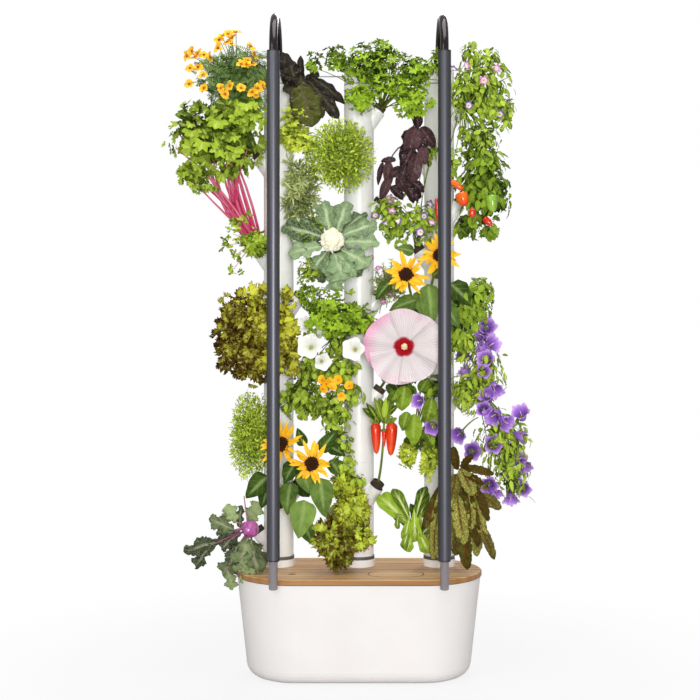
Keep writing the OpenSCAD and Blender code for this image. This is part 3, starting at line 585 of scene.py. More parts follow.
# %% Leaf and stem finishes
def blade_finish(name, *wanted):
    """A material, the wire of its place, and the wanted wires of the blade: along or across it, side (away from
    the midrib), the leaf's tint, and slow and fine noise at the place."""
    material, place = new_finish(name)
    uv = place.node("UVMap", uv_map="blade")
    wires = {"along": uv.axis("X"), "across": uv.axis("Y"), "slow": place.noise(45.0, 3.0),
             "fine": place.noise(420.0), "tint": place.node("Attribute", out="Fac", attribute_name="tint")}
    wires["side"] = (wires["across"] - 0.5).math("ABSOLUTE") * 2.0
    return material, place, *(wires[wire] for wire in wanted)


def leaf_finish(name, deep, light, rib, edge=None, rim=(0.55, 1.0), tip=(2.0, 3.0), veins=6.0, rib_share=0.7,
                gloss=0.48, bump=0.5, net=0.0, sheen=(0.7, 1.0, 0.2)):
    """Leaf: tint and patches blend deep and light, ribs and side veins lie over them, and the rim (by the side)
    or the tip (by the length) takes the edge colour. A net draws the small veins between the side veins. The
    sheen is the colour of the waxy shine, which is never quite white on a leaf."""
    material, place, along, side, tint, slow, fine = blade_finish(name, "along", "side", "tint", "slow", "fine")
    colour = (tint * 0.85 + slow * 0.5 + fine * 0.25 - 0.3).step(0.12, 0.84).mix(deep, light)
    if edge:
        border = side.step(*rim).math("MAXIMUM", along.step(*tip))
        colour = (border * (0.55 + 0.45 * slow)).mix(colour, edge)
    midrib = side.step(0.3, 0.02) * along.step(1.0, 0.6)
    vein = ((along * veins - side * 1.5) * FULL_TURN).math("SINE")
    vein = vein.step(0.7, 1.0) * side.step(1.0, 0.6)
    colour = (midrib * rib_share + vein * (0.3 * rib_share)).mix(colour, rib)
    height = slow * 0.6 - midrib * 0.5 - vein * 0.4
    if net:
        cells = {"Vector": place, "Scale": 150.0}
        lines = place.node("TexVoronoi", cells, "Distance", feature="DISTANCE_TO_EDGE").step(0.16, 0.03)
        colour, height = (lines * net).mix(colour, rib), height - lines
    fixed = {"Specular IOR Level": 0.3, "Specular Tint": (*sheen, 1.0)}
    return complete(material, colour, slow * 0.2 + (gloss - 0.1), height, bump, 0.0012, fixed)


def stem_finish(name, root, top, gloss=0.42):
    """Stem: the root colour gives way to the top colour along the stem, with fine lengthwise patches."""
    material, _, along, tint, slow, fine = blade_finish(name, "along", "tint", "slow", "fine")
    colour = (along * 0.7 + slow * 0.4 + tint * 0.5 - 0.4).step(0.0, 0.9).mix(root, top)
    return complete(material, colour, slow * 0.2 + (gloss - 0.1), fine, 0.3, 0.0006)


green_stem = stem_finish("green_stem", "#607018", "#849630")
small_leaf = leaf_finish("small_green", "#243e02", "#a8c03c", "#b6c85e", veins=4)
print("finishes:", len(bpy.data.materials))

# %% [markdown]
# ## A plant
# A `Plant` knows the CAD node that it stands for and draws its own random numbers, so that a change to one plant
# leaves the others alone. It fills its crowns with leaves and joins them to the pod with stems.

# %% A plant
class Plant:
    """A plant: the CAD node that it stands for, its random draws and its pieces."""

    def __init__(self, node, seed=0):
        self.node, self.rng = node, np.random.default_rng(seed)

    def some(self, low, high, count):
        """Numbers drawn evenly between two ends."""
        return self.rng.uniform(low, high, count)

    def shake(self, points):
        """A random push for each point."""
        return self.rng.normal(size=points.shape)

    def cloud(self, points, count, wide):
        """Loose clusters of count places round each point."""
        return (points[:, None] + wide * self.rng.normal(size=(len(points), count, 3))).reshape(-1, 3)

    def sheet(self, name, finish, grids, tint=0.5):
        """A piece of leaves or petals."""
        return Bunch().add(grids, tint).make(name, finish, self.node)

    def solid(self, name, finish, grids, tint=0.5):
        """A piece of stems, fruits or funnels."""
        return Bunch().rings(grids, tint).make(name, finish, self.node)

    def crowns(self, table, low=0.25, high=1.0, lift=0.4, droop=0.35):
        """Several bushes in one: rows of picture place across and down, depth, size in X, Y and Z, count, tint
        shift. Returns places, directions, faces and tints."""
        made = []
        for across, down, depth, *size, count, shift in table:
            *leaves, tint = bush(self.rng, count, spot(across, down, depth), size, low, high, lift, droop)
            made.append((*leaves, (tint + shift).clip(0, 1)))
        return [np.concatenate(part) for part in zip(*made)]

    def leafy(self, crown, length, width, **form):
        """Blades on a crown, with lengths and widths drawn between two ends each, and their tints."""
        places, along, face, tint = crown
        length, width = (self.some(*ends, len(places)) for ends in (length, width))
        return blades(places, along, face, length, width, **form), tint

    def lobed(self, crown, size, frilled=False, **form):
        """Fans on a crown, with sizes drawn between two ends, and their tints. Frills ruffle out of step."""
        places, along, face, tint = crown
        size = self.some(*size, len(places))
        if frilled:
            form["phase"] = self.some(0, 6, len(places))
        return fans(places, along, face, size, **form), tint

    def stems(self, name, finish, root, tips, thick, thin, reach=0.5, wide=6.0):
        """A piece of stems that leave a pod together, rise along its direction and bend over to their tips."""
        mouth, way = root
        start = mouth + STEM_SEAT * way + wide * self.shake(tips) * [0.6, 0.6, 0.1]
        length = np.linalg.norm(tips - start, axis=1, keepdims=True)
        mid = start + reach * length * unit(way + 0.2 * self.shake(tips))
        return self.solid(name, finish, stalks(start, mid, tips, thick, thin), self.some(0, 1, len(tips)))

    def twigs(self, root, tips, thick, thin, wide=5, rise=22):
        """Thin stems that spread from a pod and bow along its direction."""
        start = root[0] + STEM_SEAT * root[1] + wide * self.shake(tips)
        return stalks(start, (start + tips) / 2 + rise * root[1], tips, thick, thin, rows=7, cols=5)


print("first draws of seed 11:", Plant("marigold", 11).some(0, 1, 3).round(3))

# %% [markdown]
# ## Marigold
# The marigold is a ferny bush: each leaf is a midrib with pairs of narrow leaflets. Feathering every midrib by a
# formula takes no more work than modelling one fern, and it gives every leaf its own bow.

# %% Feathered leaves
def feathers(base, along, face, length, pairs=6):
    """Places for the leaflets of ferny leaves: they stand in pairs along a bowed midrib and get shorter to the
    tip. Returns bases, directions, faces and the share of the full leaflet length."""
    t = np.linspace(0.2, 1.0, pairs)[None, :, None, None]
    side = np.array([-1.0, 1.0])[None, None, :, None]
    a, f, s = axes(along, face)
    size = np.broadcast_to(np.asarray(length, float), len(base))[:, None, None, None]
    spots = base[:, None, None] + a * size * t - f * size * 0.3 * t ** 2
    ways = unit(a * (0.5 + 0.9 * t ** 2) + s * side - f * 0.25)
    share = np.broadcast_to(1.15 - 0.65 * t, ways.shape[:3] + (1,))
    spots, ways, f = (np.broadcast_to(q, ways.shape).reshape(-1, 3) for q in (spots, ways, f))
    return spots, ways, square_to(ways, f), share.reshape(-1)


print("a test leaf has", len(feathers(np.zeros((1, 3)), *np.eye(3)[:2, None], 20)[0]), "leaflets")

# %% [markdown]
# Its flowers have a few broad yellow petals with a rust-red heart. They go where the picture shows them:
# `on_crown` finds the front of the oval crown behind a point of the picture, and `wheel` sets petals round a
# head. A petal changes colour from its heart to its tip, with fine streaks along it.

# %% Flowers on a crown
def on_crown(table, centre, size, proud=4.0):
    """Points that the picture shows at (across, down), laid on the front of an oval crown and a little out."""
    (across, down), half = np.array(table, float).T, np.asarray(size, float) / 2
    off = (spot(across, down, centre[1]) - centre) / half
    bulge = np.sqrt((1 - off[:, 0] ** 2 - off[:, 2] ** 2).clip(0.04))
    return spot(across, down, centre[1] - half[1] * bulge - proud)


def wheel(centre, facing, count, start, lean, spin=0.0):
    """Places for petals: count directions evenly round each flower, square to its facing and leaning towards
    it. Returns bases, directions and faces."""
    first = square_to(facing, [0.25, 0.12, 0.96])[:, None]
    second = np.cross(facing, first[:, 0])[:, None]
    turn = (FULL_TURN * np.arange(count) / count)[None, :, None] + np.reshape(spin, (-1, 1, 1))
    out = np.cos(turn) * first + np.sin(turn) * second
    front = facing[:, None]
    base = centre[:, None] + out * start
    along = out * np.cos(lean) + front * np.sin(lean)
    face = front * np.cos(lean) - out * np.sin(lean)
    return [q.reshape(-1, 3) for q in (base, along, face)]


def flower_stalks(centre, heads, ends, thick, thin):
    """Short stalks that start halfway into a crown and rise to its flowers."""
    back = centre * 0.5 + heads * 0.5
    return stalks(back, back * 0.4 + heads * 0.6 + [0, 0, 6], ends, thick, thin, rows=5, cols=5)


def petal_finish(name, heart, body, tip, reach=(0.12, 0.35), ends=(0.6, 1.0), streak=None, streaks=9.0):
    """Petal: heart, body and tip colours follow each other along it, and streaks run along it by the side."""
    material, _, along, side, tint, slow, fine = blade_finish(name, "along", "side", "tint", "slow", "fine")
    colour = along.step(*reach).mix(heart, body)
    colour = (along.step(*ends) * (0.4 + 0.6 * tint)).mix(colour, tip)
    lines = (side * (streaks * FULL_TURN) + slow * 3.0).math("SINE").step(0.4, 1.0)
    if streak:
        colour = (lines * along.step(0.95, 0.3) * 0.55).mix(colour, streak)
    return complete(material, colour, fine * 0.16 + 0.42, lines + fine, 0.3, 0.0006)


print("a marigold head sits at", on_crown([[223, 60]], (-311, -45, 1475), (170, 100, 160)).round(1))

# %% Marigold
plant = Plant("marigold", 11)
centre, size = np.array([-300, -45, 1474]), (196, 104, 158)
places, *ways, tint = bush(plant.rng, 760, centre, size, low=0.2, high=0.94, lift=0.4, droop=-0.1, loose=0.75)
base, along, face, share = feathers(places, *ways, plant.some(18, 32, 760))
leaflets = blades(base, along, face, 13 * share, 2.8, rows=4, cols=3)
fern = leaf_finish("fern_green", "#122a0c", "#769250", "#829a5e", veins=2, gloss=0.6)
plant.sheet("marigold_leaves", fern, leaflets, np.repeat(tint, 12))
plant.stems("marigold_stems", green_stem, port("left", 8), places[::40] * 0.5 + centre * 0.5, 2.4, 1.5)
heads = on_crown([
    [192, 51], [198, 53], [204, 55], [210, 57], [218, 48], [222, 36], [227, 42], [232, 38], [236, 32],
    [190, 68], [198, 67], [203, 75], [189, 84], [204, 88], [251, 46], [254, 55], [246, 64], [253, 64],
    [241, 64], [221, 88], [230, 86], [225, 94], [241, 88], [256, 94], [262, 85], [252, 92], [228, 34],
    [195, 57], [219, 40], [187, 56], [247, 60], [232, 44], [258, 88]], centre, size)
facing = unit(0.5 * unit(heads - centre) + [0, -0.75, 0.3] + 0.4 * plant.shake(heads))
base, along, face = wheel(heads, facing, 6, start=1.5, lean=0.2, spin=plant.some(0, 6, len(heads)))
along, count = unit(along + 0.25 * plant.shake(along)), len(base)
petals = blades(base, along, square_to(along, face), plant.some(9, 14, count), plant.some(9, 13, count),
                widest=0.62, full=0.55, rows=5, arch=plant.rng.normal(0.4, 0.4, count), wave=0.1, waves=1.5)
petal = petal_finish("marigold_petal", "#be5802", "#fac20e", "#ffda3c", reach=(0.05, 0.35), streak="#e08a04")
plant.sheet("marigold_flowers", petal, petals, plant.some(0, 1, count))
rust = hard_finish("marigold_heart", "#d6800a", "#963c08", 0.8, grain=700, bump=0.8)
plant.solid("marigold_hearts", rust, turned(heads, facing, [3.6, 3.4, 2.4, 0.2], [-1, 1.2, 2.4, 3.0], cols=10))
plant.solid("marigold_stalks", green_stem, flower_stalks(centre, heads, heads - 1.5 * facing, 1.0, 0.8))

# %% [markdown]
# ## Red celery
# The celery carries bright lobed leaves on long magenta stems, which stay magenta nearly to the top. A lobed
# leaf is a fan, drawn round its stalk: its radius rises and falls as the angle turns. Lobes cut out of a blade
# would have ragged edges.

# %% Fans
def fans(base, along, face, size, lobes=3, spread=1.7, notch=0.4, rows=4, cols=13, dish=0.15, ruffle=0.0,
         ruffles=7.0, phase=0.0):
    """Lobed leaves: the angle is v·spread and the radius size·u·(1 - notch·(1 - cos(pi·lobes·v))/2) with a
    lobe in the middle; the sheet dishes with the square of the radius and ruffles towards its edge."""
    size, dish, ruffle, phase = each(len(base), size, dish, ruffle, phase)
    u, v = np.linspace(0.04, 1, rows)[None, :, None], np.linspace(-1, 1, cols)[None, None, :]
    radius = size * u * (1 - notch * (1 - np.cos(np.pi * lobes * (v + 1) - np.pi * (lobes % 2))) / 2)
    turn = v * spread
    lift = dish * radius ** 2 / size + ruffle * size * u ** 2 * np.sin(ruffles * turn + phase)
    a, f, s = axes(along, face)
    return (base[:, None, None] + a * (radius * np.cos(turn))[..., None] + s * (radius * np.sin(turn))[..., None]
            + f * lift[..., None])


print("a test fan has", fans(np.zeros((1, 3)), *np.eye(3)[:2, None], 20).shape, "as its shape")

# %% Red celery
plant = Plant("red_celery", 12)
(mouth, way), centre = port("left", 6), spot(221, 135, -38)
crown = plant.crowns([
    [223, 133, -38, 200, 136, 206, 240, -0.12], [195, 130, -40, 100, 90, 130, 66, -0.1],
    [193, 172, -40, 74, 70, 66, 36, 0.05], [246, 112, -54, 100, 90, 100, 56, 0.35],
    [255, 244, -20, 50, 50, 56, 40, 0]], low=0.3, high=0.98, lift=0.5, droop=0.25)
leaves = Bunch().add(*plant.lobed(crown, (15, 31), True, lobes=5, spread=1.8, notch=0.36, cols=21, ruffle=0.14))
outer = spot([178, 176, 190, 186, 196, 208], [132, 148, 108, 172, 184, 186], [-40, -34, -36, -40, -50, -60])
tips = np.concatenate([crown[0][6:240:13] * 0.7 + centre * 0.3, outer])
places = plant.cloud(outer, 9, 9)
away, count = unit(places - centre), len(places)
face = unit(away + [0, -0.5, 0.5] + 0.3 * plant.shake(places))
leaves.add(fans(places, square_to(face, away), face, plant.some(10, 19, count), lobes=5, spread=1.8, notch=0.42,
                rows=3, cols=17), plant.some(0, 1, count))
celery_leaf = leaf_finish("celery_green", "#263e02", "#a4bc3a", "#b8c862", veins=3)
leaves.make("celery_leaves", celery_leaf, "red_celery")
magenta = stem_finish("celery_magenta", "#c60c5c", "#ec88a0", 0.35)
plant.stems("celery_stems", magenta, (mouth, way), tips, 4.4, 1.9, reach=0.55, wide=8.0)
sprigs = spot([236, 233, 228, 235, 234, 241, 246, 252], [226, 234, 245, 256, 269, 240, 218, 236],
              [-34, -30, -24, -20, -16, -30, -34, -34])
places = plant.cloud(sprigs, 8, 8)
face, count = unit([0, -0.8, 0.5] + 0.5 * plant.shake(places)), len(places)
small = fans(places, square_to(face, plant.shake(places)), face, plant.some(8, 14, count), notch=0.5)
plant.sheet("celery_sprigs", celery_leaf, small, plant.some(0, 1, count))
bowed = stalks(mouth + STEM_SEAT * way, mouth + 30 * way + [0, -30, 0], sprigs, 1.4, 0.8, rows=6, cols=5)
plant.solid("celery_sprig_stems", magenta, bowed, 0.4)

# %% [markdown]
# ## Leaf lettuce
# The lettuce is a loose head of ruffled leaves, bronze on the outer side and yellow-green within. A frill is an
# edge that has grown too long for its leaf. A sine that rises towards the rim of a fan looks the same, and it
# needs no cloth simulation.

# %% Leaf lettuce
FRILL = {"lobes": 5, "spread": 1.6, "cols": 17, "dish": 0.2}
plant = Plant("leaf_lettuce", 13)
centre = np.array([-247, -58, 838])
places, *ways, tint = bush(plant.rng, 900, centre, (226, 122, 258), low=0.2, high=0.93, lift=0.25, droop=0.1,
                           loose=0.5)
# In part painted light: the tint rises to the right and towards the top, so the head is lighter at its upper right
# and darker at its lower left, over its own random tints.
east, up = (places[:, 0] - centre[0]) / 110, (places[:, 2] - centre[2]) / 500
tint = (0.34 + 0.38 * east + 0.85 * (tint - 0.5) + up).clip(0, 1)
bronze = leaf_finish("lettuce_bronze", "#341c02", "#ced03c", "#cec86e", "#5e2e10", rim=(2, 3), tip=(0.72, 1.0),
                     veins=4)
plant.sheet("lettuce_leaves", bronze,
            *plant.lobed((places, *ways, tint), (11, 25), True, **FRILL, notch=0.24, ruffle=0.28, ruffles=12.0))
plant.stems("lettuce_ribs", stem_finish("lettuce_rib", "#ccc896", "#aaa854"), port("left", 4),
            places[::32] * 0.6 + centre * 0.4, 4.5, 2.5)

# %% [markdown]
# ## Cress
# The cress is a soft ball of fine lime threads. Hair could make it, but hair is no mesh, so it would be lost in
# an export. Thousands of tiny blades are a mesh, and they take a leaf's finish.

# %% Cress
plant = Plant("cress", 14)
threads, hearts = Bunch(), Bunch()
for root, centre, size, count in ((port("left", 2), (-262, -44, 594), (112, 100, 200), 4600),
                                  (port("centre", 8), (-48, -50, 1280), (162, 112, 180), 5600)):
    places, _, _, tint = bush(plant.rng, count, centre, size, high=0.97, lift=0.3, droop=0.0)
    along = unit(unit(places - centre) + [0, -0.1, 0.25] + 0.8 * plant.shake(places))
    threads.add(blades(places, along, square_to(along, plant.shake(places)), plant.some(8, 15, count),
                       plant.some(2.4, 4.4, count), widest=0.6, full=0.7, rows=4, cols=3,
                       arch=plant.rng.normal(0, 1.0, count)), tint)
    tips = places[::90]
    start = root[0] + STEM_SEAT * root[1] + 6 * plant.shake(tips)
    inner = stalks(start, start + 60 * root[1], tips, 1.1, 0.7, rows=6, cols=4)
    hearts.rings(inner, plant.some(0, 1, len(tips)))
lime = leaf_finish("cress_lime", "#466802", "#c8da4e", "#ccdc60", veins=1, gloss=0.55)
threads.make("cress_threads", lime, "cress")
hearts.make("cress_stems", stem_finish("cress_stem", "#8ca432", "#b0c24c"), "cress")

# %% [markdown]
# ## Kohlrabi
# The kohlrabi shows its swollen pink stem between a few very different leaves. With so few, each leaf is placed
# one by one: a row of a table says where it starts and ends in the picture, how far back both ends are, its width
# and its tint. `trunk` is the strong stem below the bulb. The whole plant can be pulled out with its pod.

# %% Leaves from a table, and fruits
def leaves_at(table, **form):
    """Blades from rows of: start across, down and depth, tip across, down and depth, width, tint. Each one is
    turned a little otherwise than its neighbours, so that they catch the light one by one."""
    t = np.array(table, float)
    base, tip, row = spot(*t[:, :3].T), spot(*t[:, 3:6].T), np.arange(len(t))
    along, length = unit(tip - base), np.linalg.norm(tip - base, axis=1)
    face = square_to(along, [0, -1, 0.45] + 0.32 * np.sin(row[:, None] * [2.1, 3.7, 5.3]))
    return blades(base, along, face, length, t[:, 6], phase=row * 1.9, **form), t[:, 7]


def trunk(root, rise, end, thick, thin, rows=7, cols=6):
    """One stem that leaves a pod's plug along its direction and bends over to its end."""
    mouth, way = root
    return stalks(mouth + PLUG_SEAT * way, mouth + rise * way, end, thick, thin, rows, cols)


def fruit_finish(name, skin, blush, calyx, gloss=0.22, patches=30.0):
    """Fruit: skin and blush in soft patches, the stalk's end in its own colour, and a waxy coat."""
    material, place, along, fine = blade_finish(name, "along", "fine")
    colour = (place.noise(patches) * 0.8 + along * 0.5 - 0.1).step(0.25, 0.85).mix(skin, blush)
    colour = along.step(0.1, 0.03).mix(colour, calyx)
    fixed = {"Coat Weight": 0.4, "Coat Roughness": 0.15}
    return complete(material, colour, fine * 0.12 + (gloss - 0.06), fine, 0.15, 0.0006, fixed)


tip = leaves_at([[236, 522, -66, 227, 505, -78, 32, 1.0]])[0][0, -1, 2]
print("a leaf from the table ends at", tip.round(1))

# %% Kohlrabi
plant, root = Plant("kohlrabi", 15), port("left", 0)
bulb, turn = np.array([-264, -78, 370.0]), np.linspace(0, np.pi, 13)
girth = 21 * np.sin(turn) * (1 + 0.1 * np.sin(5 * turn)) + 0.2
plant.solid("kohlrabi_bulb", fruit_finish("bulb_pink", "#821468", "#be68aa", "#966e78", gloss=0.35, patches=110),
            turned(bulb, [0.45, -0.35, 0.8], girth, -21 * np.cos(turn), cols=24, lobes=5, groove=0.07))
table = [
    [236, 522, -66, 227, 505, -78, 32, 1.0], [234, 530, -62, 209, 518, -74, 34, 0.35],
    [240, 528, -60, 239, 506, -70, 20, 0.05], [249, 522, -40, 258, 503, -58, 38, 0.85],
    [228, 541, -60, 180, 547, -58, 40, 0.1], [212, 545, -58, 191, 567, -56, 36, 0.12],
    [232, 538, -60, 220, 550, -66, 26, 0.05], [248, 537, -78, 238, 573, -96, 46, 0.5],
    [251, 539, -76, 257, 580, -92, 46, 0.3], [240, 554, -62, 220, 576, -68, 42, 0.3],
    [227, 570, -62, 234, 590, -70, 28, 0.6], [238, 546, -70, 227, 566, -82, 38, 0.2],
    [245, 548, -72, 248, 588, -88, 34, 0.7], [240, 530, -20, 222, 548, 2, 44, 0.2],
    [252, 540, -40, 264, 566, -66, 36, 0.3], [234, 532, -50, 216, 532, -56, 30, 0.2],
    [238, 522, -50, 222, 512, -52, 26, 0.5]]
leaf = leaf_finish("kohlrabi_green", "#1a2a12", "#96ac6c", "#a0a082", "#3c422e", rim=(0.75, 1.0), veins=5,
                   net=0.25, sheen=(0.8, 1.0, 0.7))
plant.sheet("kohlrabi_leaves", leaf,
            *leaves_at(table, rows=23, cols=9, wave=0.16, waves=3.5, teeth=0.1, arch=0.5, widest=0.58, full=0.5,
                       lobe=0.3, quilt=0.12, fold=0.25))
tips = spot(*np.array(table)[:, :3].T)
ribs = stalks(bulb + 17 * unit(tips - bulb), (bulb + tips) / 2 + [0, 0, 4], tips, 2.2, 1.6)
crest = stalks(bulb + [-6, -4, 18], bulb + [-10, -4, 40], spot(244, 496, -64), 2.4, 1.4)
Bunch().rings(ribs, plant.some(0, 1, len(tips))).rings(crest, 0.9).make(
    "kohlrabi_stalks", stem_finish("kohlrabi_stalk", "#70345a", "#b0788c"), "kohlrabi")
plant.solid("kohlrabi_root", green_stem, trunk(root, 50, bulb + [0, 6, -16], 7, 9))
plugs("kohlrabi_plug", [root], "kohlrabi", True)

# %% [markdown]
# Three plants come out with their pods: the kohlrabi, the bok choy and the chillies. All the others stay where
# they are, so their growing plugs can be a single piece on the base.

# %% The other growing plugs
own = {("left", 0), ("right", 0), ("centre", 1)}
shared = [port(c, s) for c in COLUMN_X for s in range(MODULES) if (c, s) not in own]
plugs("growing_plugs", shared, "pods", False)
print(len(shared), "plugs on the base")

# %% [markdown]
# ## Red romaine
# The romaine has a few large crinkled leaves, maroon and olive, so it comes from a table too. The crinkles are
# in the mesh, because the outline of a leaf has to show them. Young lobed leaves hang below.

# %% Red romaine
plant = Plant("red_romaine", 21)
maroon = leaf_finish("romaine_maroon", "#180d11", "#525814", "#585232", "#1a0e12", rim=(0.75, 1.0), gloss=0.32,
                     bump=1.0, net=0.2, sheen=(0.9, 0.9, 0.9))
plant.sheet("romaine_leaves", maroon, *leaves_at([
    [296, 98, 14, 284, 51, -24, 44, 0.05], [298, 94, 8, 291, 60, -40, 40, 0.1],
    [303, 92, 12, 297, 56, -24, 22, 0.1], [299, 82, -20, 312, 123, -58, 76, 0.9],
    [303, 84, -14, 301, 117, -52, 56, 0.6], [307, 79, 0, 339, 113, -50, 38, 0.1],
    [310, 76, 6, 345, 97, -44, 28, 0.05], [300, 86, 10, 287, 88, -40, 40, 0.15],
    [302, 94, 20, 316, 70, -4, 30, 0.2], [304, 84, -10, 323, 114, -46, 40, 0.75],
    [300, 92, 40, 284, 74, 36, 44, 0.1], [304, 92, 40, 322, 88, 36, 44, 0.3],
    [296, 80, -10, 282, 72, -30, 30, 0.0], [300, 74, -6, 303, 90, -36, 30, 0.1]],
    rows=21, cols=9, wave=0.1, waves=4, widest=0.55, full=0.55, arch=0.5, fold=0.15, quilt=0.22, lobe=0.1))
tips = spot([288, 298, 310, 304, 316], [84, 78, 92, 104, 88], [0, -10, -10, -20, 0])
plant.stems("romaine_ribs", stem_finish("romaine_rib", "#8c8246", "#643c32"), port("left", 9), tips, 3.6, 2.0)
crown = plant.crowns([[292, 130, -16, 70, 66, 118, 110, 0], [305, 142, -30, 60, 50, 60, 50, 0.1],
                      [298, 112, -20, 50, 50, 40, 30, 0]], droop=0.45)
lime_leaf = leaf_finish("young_lime", "#4a6202", "#ccd848", "#d4da6c", veins=4)
plant.sheet("romaine_young_leaves", lime_leaf,
            *plant.lobed(crown, (9, 19), lobes=5, notch=0.35, rows=3, cols=17, ruffle=0.12))

# %% [markdown]
# ## Rosemary and thyme
# The rosemary stands in stiff needle sprigs, and the thyme is smaller, with a few pink flowers. Needles sit all
# along a twig, so the twig's curve is worked out again at twenty places and a needle starts at each.

# %% Rosemary and thyme
NEEDLES = 20
plant = Plant("rosemary", 22)
needles, twigs = Bunch(), Bunch()
for root, centre, size, count, long in ((port("left", 7), (-146, -18, 1198), (110, 76, 190), 46, 23.0),
                                        (port("centre", 5), (98, 10, 974), (60, 60, 105), 40, 9.0),
                                        (port("centre", 5), (66, -20, 965), (90, 60, 110), 44, 10.0)):
    tips = bush(plant.rng, count, centre, size, low=0.5, high=1.05)[0]
    start = root[0] + STEM_SEAT * root[1] + 5 * plant.shake(tips)
    mid = (start + tips) / 2 + 22 * root[1] + 8 * plant.shake(tips)
    twigs.rings(stalks(start, mid, tips, 1.4, 0.8, rows=7, cols=5))
    t = np.linspace(0.45, 1.0, NEEDLES)[None, :, None]
    line = (1 - t) ** 2 * start[:, None] + 2 * t * (1 - t) * mid[:, None] + t ** 2 * tips[:, None]
    ways = unit((1 - t) * (mid - start)[:, None] + t * (tips - mid)[:, None])
    along = unit(0.8 * ways + square_to(ways, plant.shake(line)))
    base, along = line.reshape(-1, 3), along.reshape(-1, 3)
    grown = plant.some(0.7, 1.2, len(base)) * long
    face = square_to(along, [0, -1, 0.5] + 0.6 * plant.shake(base))
    needles.add(blades(base, along, face, grown, 0.15 * grown + 1.0, widest=0.5, full=0.5, rows=4, cols=3, fold=0.5,
                       arch=0.3),
                np.repeat(plant.some(0, 1, count), NEEDLES) * 0.6 + 0.4 * plant.some(0, 1, len(base)))
grey = leaf_finish("rosemary_grey", "#4e6420", "#c8d28a", "#ced498", veins=1, gloss=0.6)
needles.make("rosemary_needles", grey, "rosemary")
twigs.make("rosemary_twigs", stem_finish("rosemary_twig", "#705c34", "#848a46"), "rosemary")
heads = spot([393, 390, 372, 378, 383], [282, 295, 258, 268, 301], [-62, -60, -56, -58, -50])
base, along, face = wheel(heads, unit([0, -1, 0.3] + 0.4 * plant.shake(heads)), 5, start=0.5, lean=0.4)
petals = fans(base, along, face, plant.some(5, 9, len(base)), lobes=1, spread=0.8, notch=0.2, rows=3, cols=7,
              ruffle=0.1)
plant.sheet("thyme_flowers", petal_finish("thyme_pink", "#ecd6e2", "#ce84b2", "#963878"), petals,
            plant.some(0, 1, len(base)))
plant.solid("thyme_stalks", green_stem,
            stalks(heads + [-8, 40, -30], heads + [-4, 16, -4], heads + [0, 2, 0], 0.9, 0.7, rows=5, cols=5))

# %% [markdown]
# ## Petunias
# The petunias are white funnels with a greenish throat. A funnel is turned about its facing, as a fruit is, but
# its rim is pinched into five petals and ruffled, which a plain profile can't give.

# %% Funnels
def funnels(centre, facing, reach, deep, petals=5, pinch=0.12, rows=9, cols=30, flare=2.4, ruffle=0.03, spin=0.0,
            cup=0.0):
    """Funnel flowers: radius reach·(throat + rest·(cup·√u + (1 - cup)·u^flare)), pinched between the petals near
    the rim, and height -deep·(1 - u)^1.4 with a slight ruffle at the rim, turned about the facing."""
    facing, throat = unit(facing), 0.12
    first = square_to(facing, [0.3, 0.1, 0.9])
    second = np.cross(facing, first)
    u = np.linspace(0, 1, rows)[None, :, None]
    turn = circle(cols)[None, None, :] + np.reshape(np.asarray(spin, float), (-1, 1, 1))
    reach, deep = each(len(centre), reach, deep)
    radius = reach * (throat + (1 - throat) * (cup * u ** 0.5 + (1 - cup) * u ** flare))
    radius = radius * (1 - pinch * u ** 4 * (1 - np.cos(petals * turn)) / 2)
    radius[:, 0] = 0
    height = -deep * (1 - u) ** 1.4 + ruffle * reach * u ** 4 * np.sin(2 * petals * turn + 1.0)
    ring = np.cos(turn)[..., None] * first[:, None, None] + np.sin(turn)[..., None] * second[:, None, None]
    return centre[:, None, None] + ring * radius[..., None] + facing[:, None, None] * height[..., None]


print("a test funnel has", funnels(np.zeros((1, 3)), np.eye(3)[2:], 30, 20).shape, "as its shape")

# %% Petunias
plant = Plant("petunia", 23)
crown = plant.crowns([
    [312, 366, -16, 100, 84, 128, 170, 0], [300, 396, -14, 110, 84, 110, 200, -0.05],
    [334, 372, -24, 96, 84, 90, 140, 0.1], [318, 405, -20, 90, 80, 70, 90, 0],
    [337, 344, -36, 50, 56, 80, 70, -0.05], [346, 366, -40, 60, 60, 60, 60, 0.1]])
plant.sheet("petunia_leaves", small_leaf, *plant.leafy(crown, (13, 26), (8, 16), arch=0.5, wave=0.08, fold=0.2))
plant.stems("petunia_stems", green_stem, port("left", 3), crown[0][::12], 2.0, 1.0)
centre = np.array([-115, -14, 767])
heads = spot([309, 353, 323, 304, 318], [346, 349, 362, 324, 333], [-92, -118, -98, -74, -60])
facing = unit(np.array([[-0.2, -1, 0.2], [-0.25, -1, 0.1], [0.25, -1, -0.1], [-0.5, -1, 0.3], [0.3, -0.8, 0.4]]))
deep = np.array([30, 30, 26, 22, 18])
white = petal_finish("petunia_white", "#b4b832", "#e2e2d8", "#ecece6", reach=(0.08, 0.34), streak="#c6ccb2")
horns = funnels(heads, facing, [33, 30, 23, 22, 16], deep, pinch=0.18, ruffle=0.07, spin=[0.2, 0.9, 0.5, 0, 0.3])
plant.solid("petunia_flowers", white, horns, plant.some(0, 1, len(heads)))
plant.solid("petunia_stalks", green_stem,
            stalks(centre, heads * 0.5 + centre * 0.5, heads - facing * deep[:, None], 1.6, 2.6, rows=6))

# %% [markdown]
# ## Sunflowers
# A sunflower head is a dark disc of seeds with two rows of pointed rays round it. Each ray is a blade with its
# own length and bend, because a head with equal rays looks like a toy. The disc is a shallow turned dome.

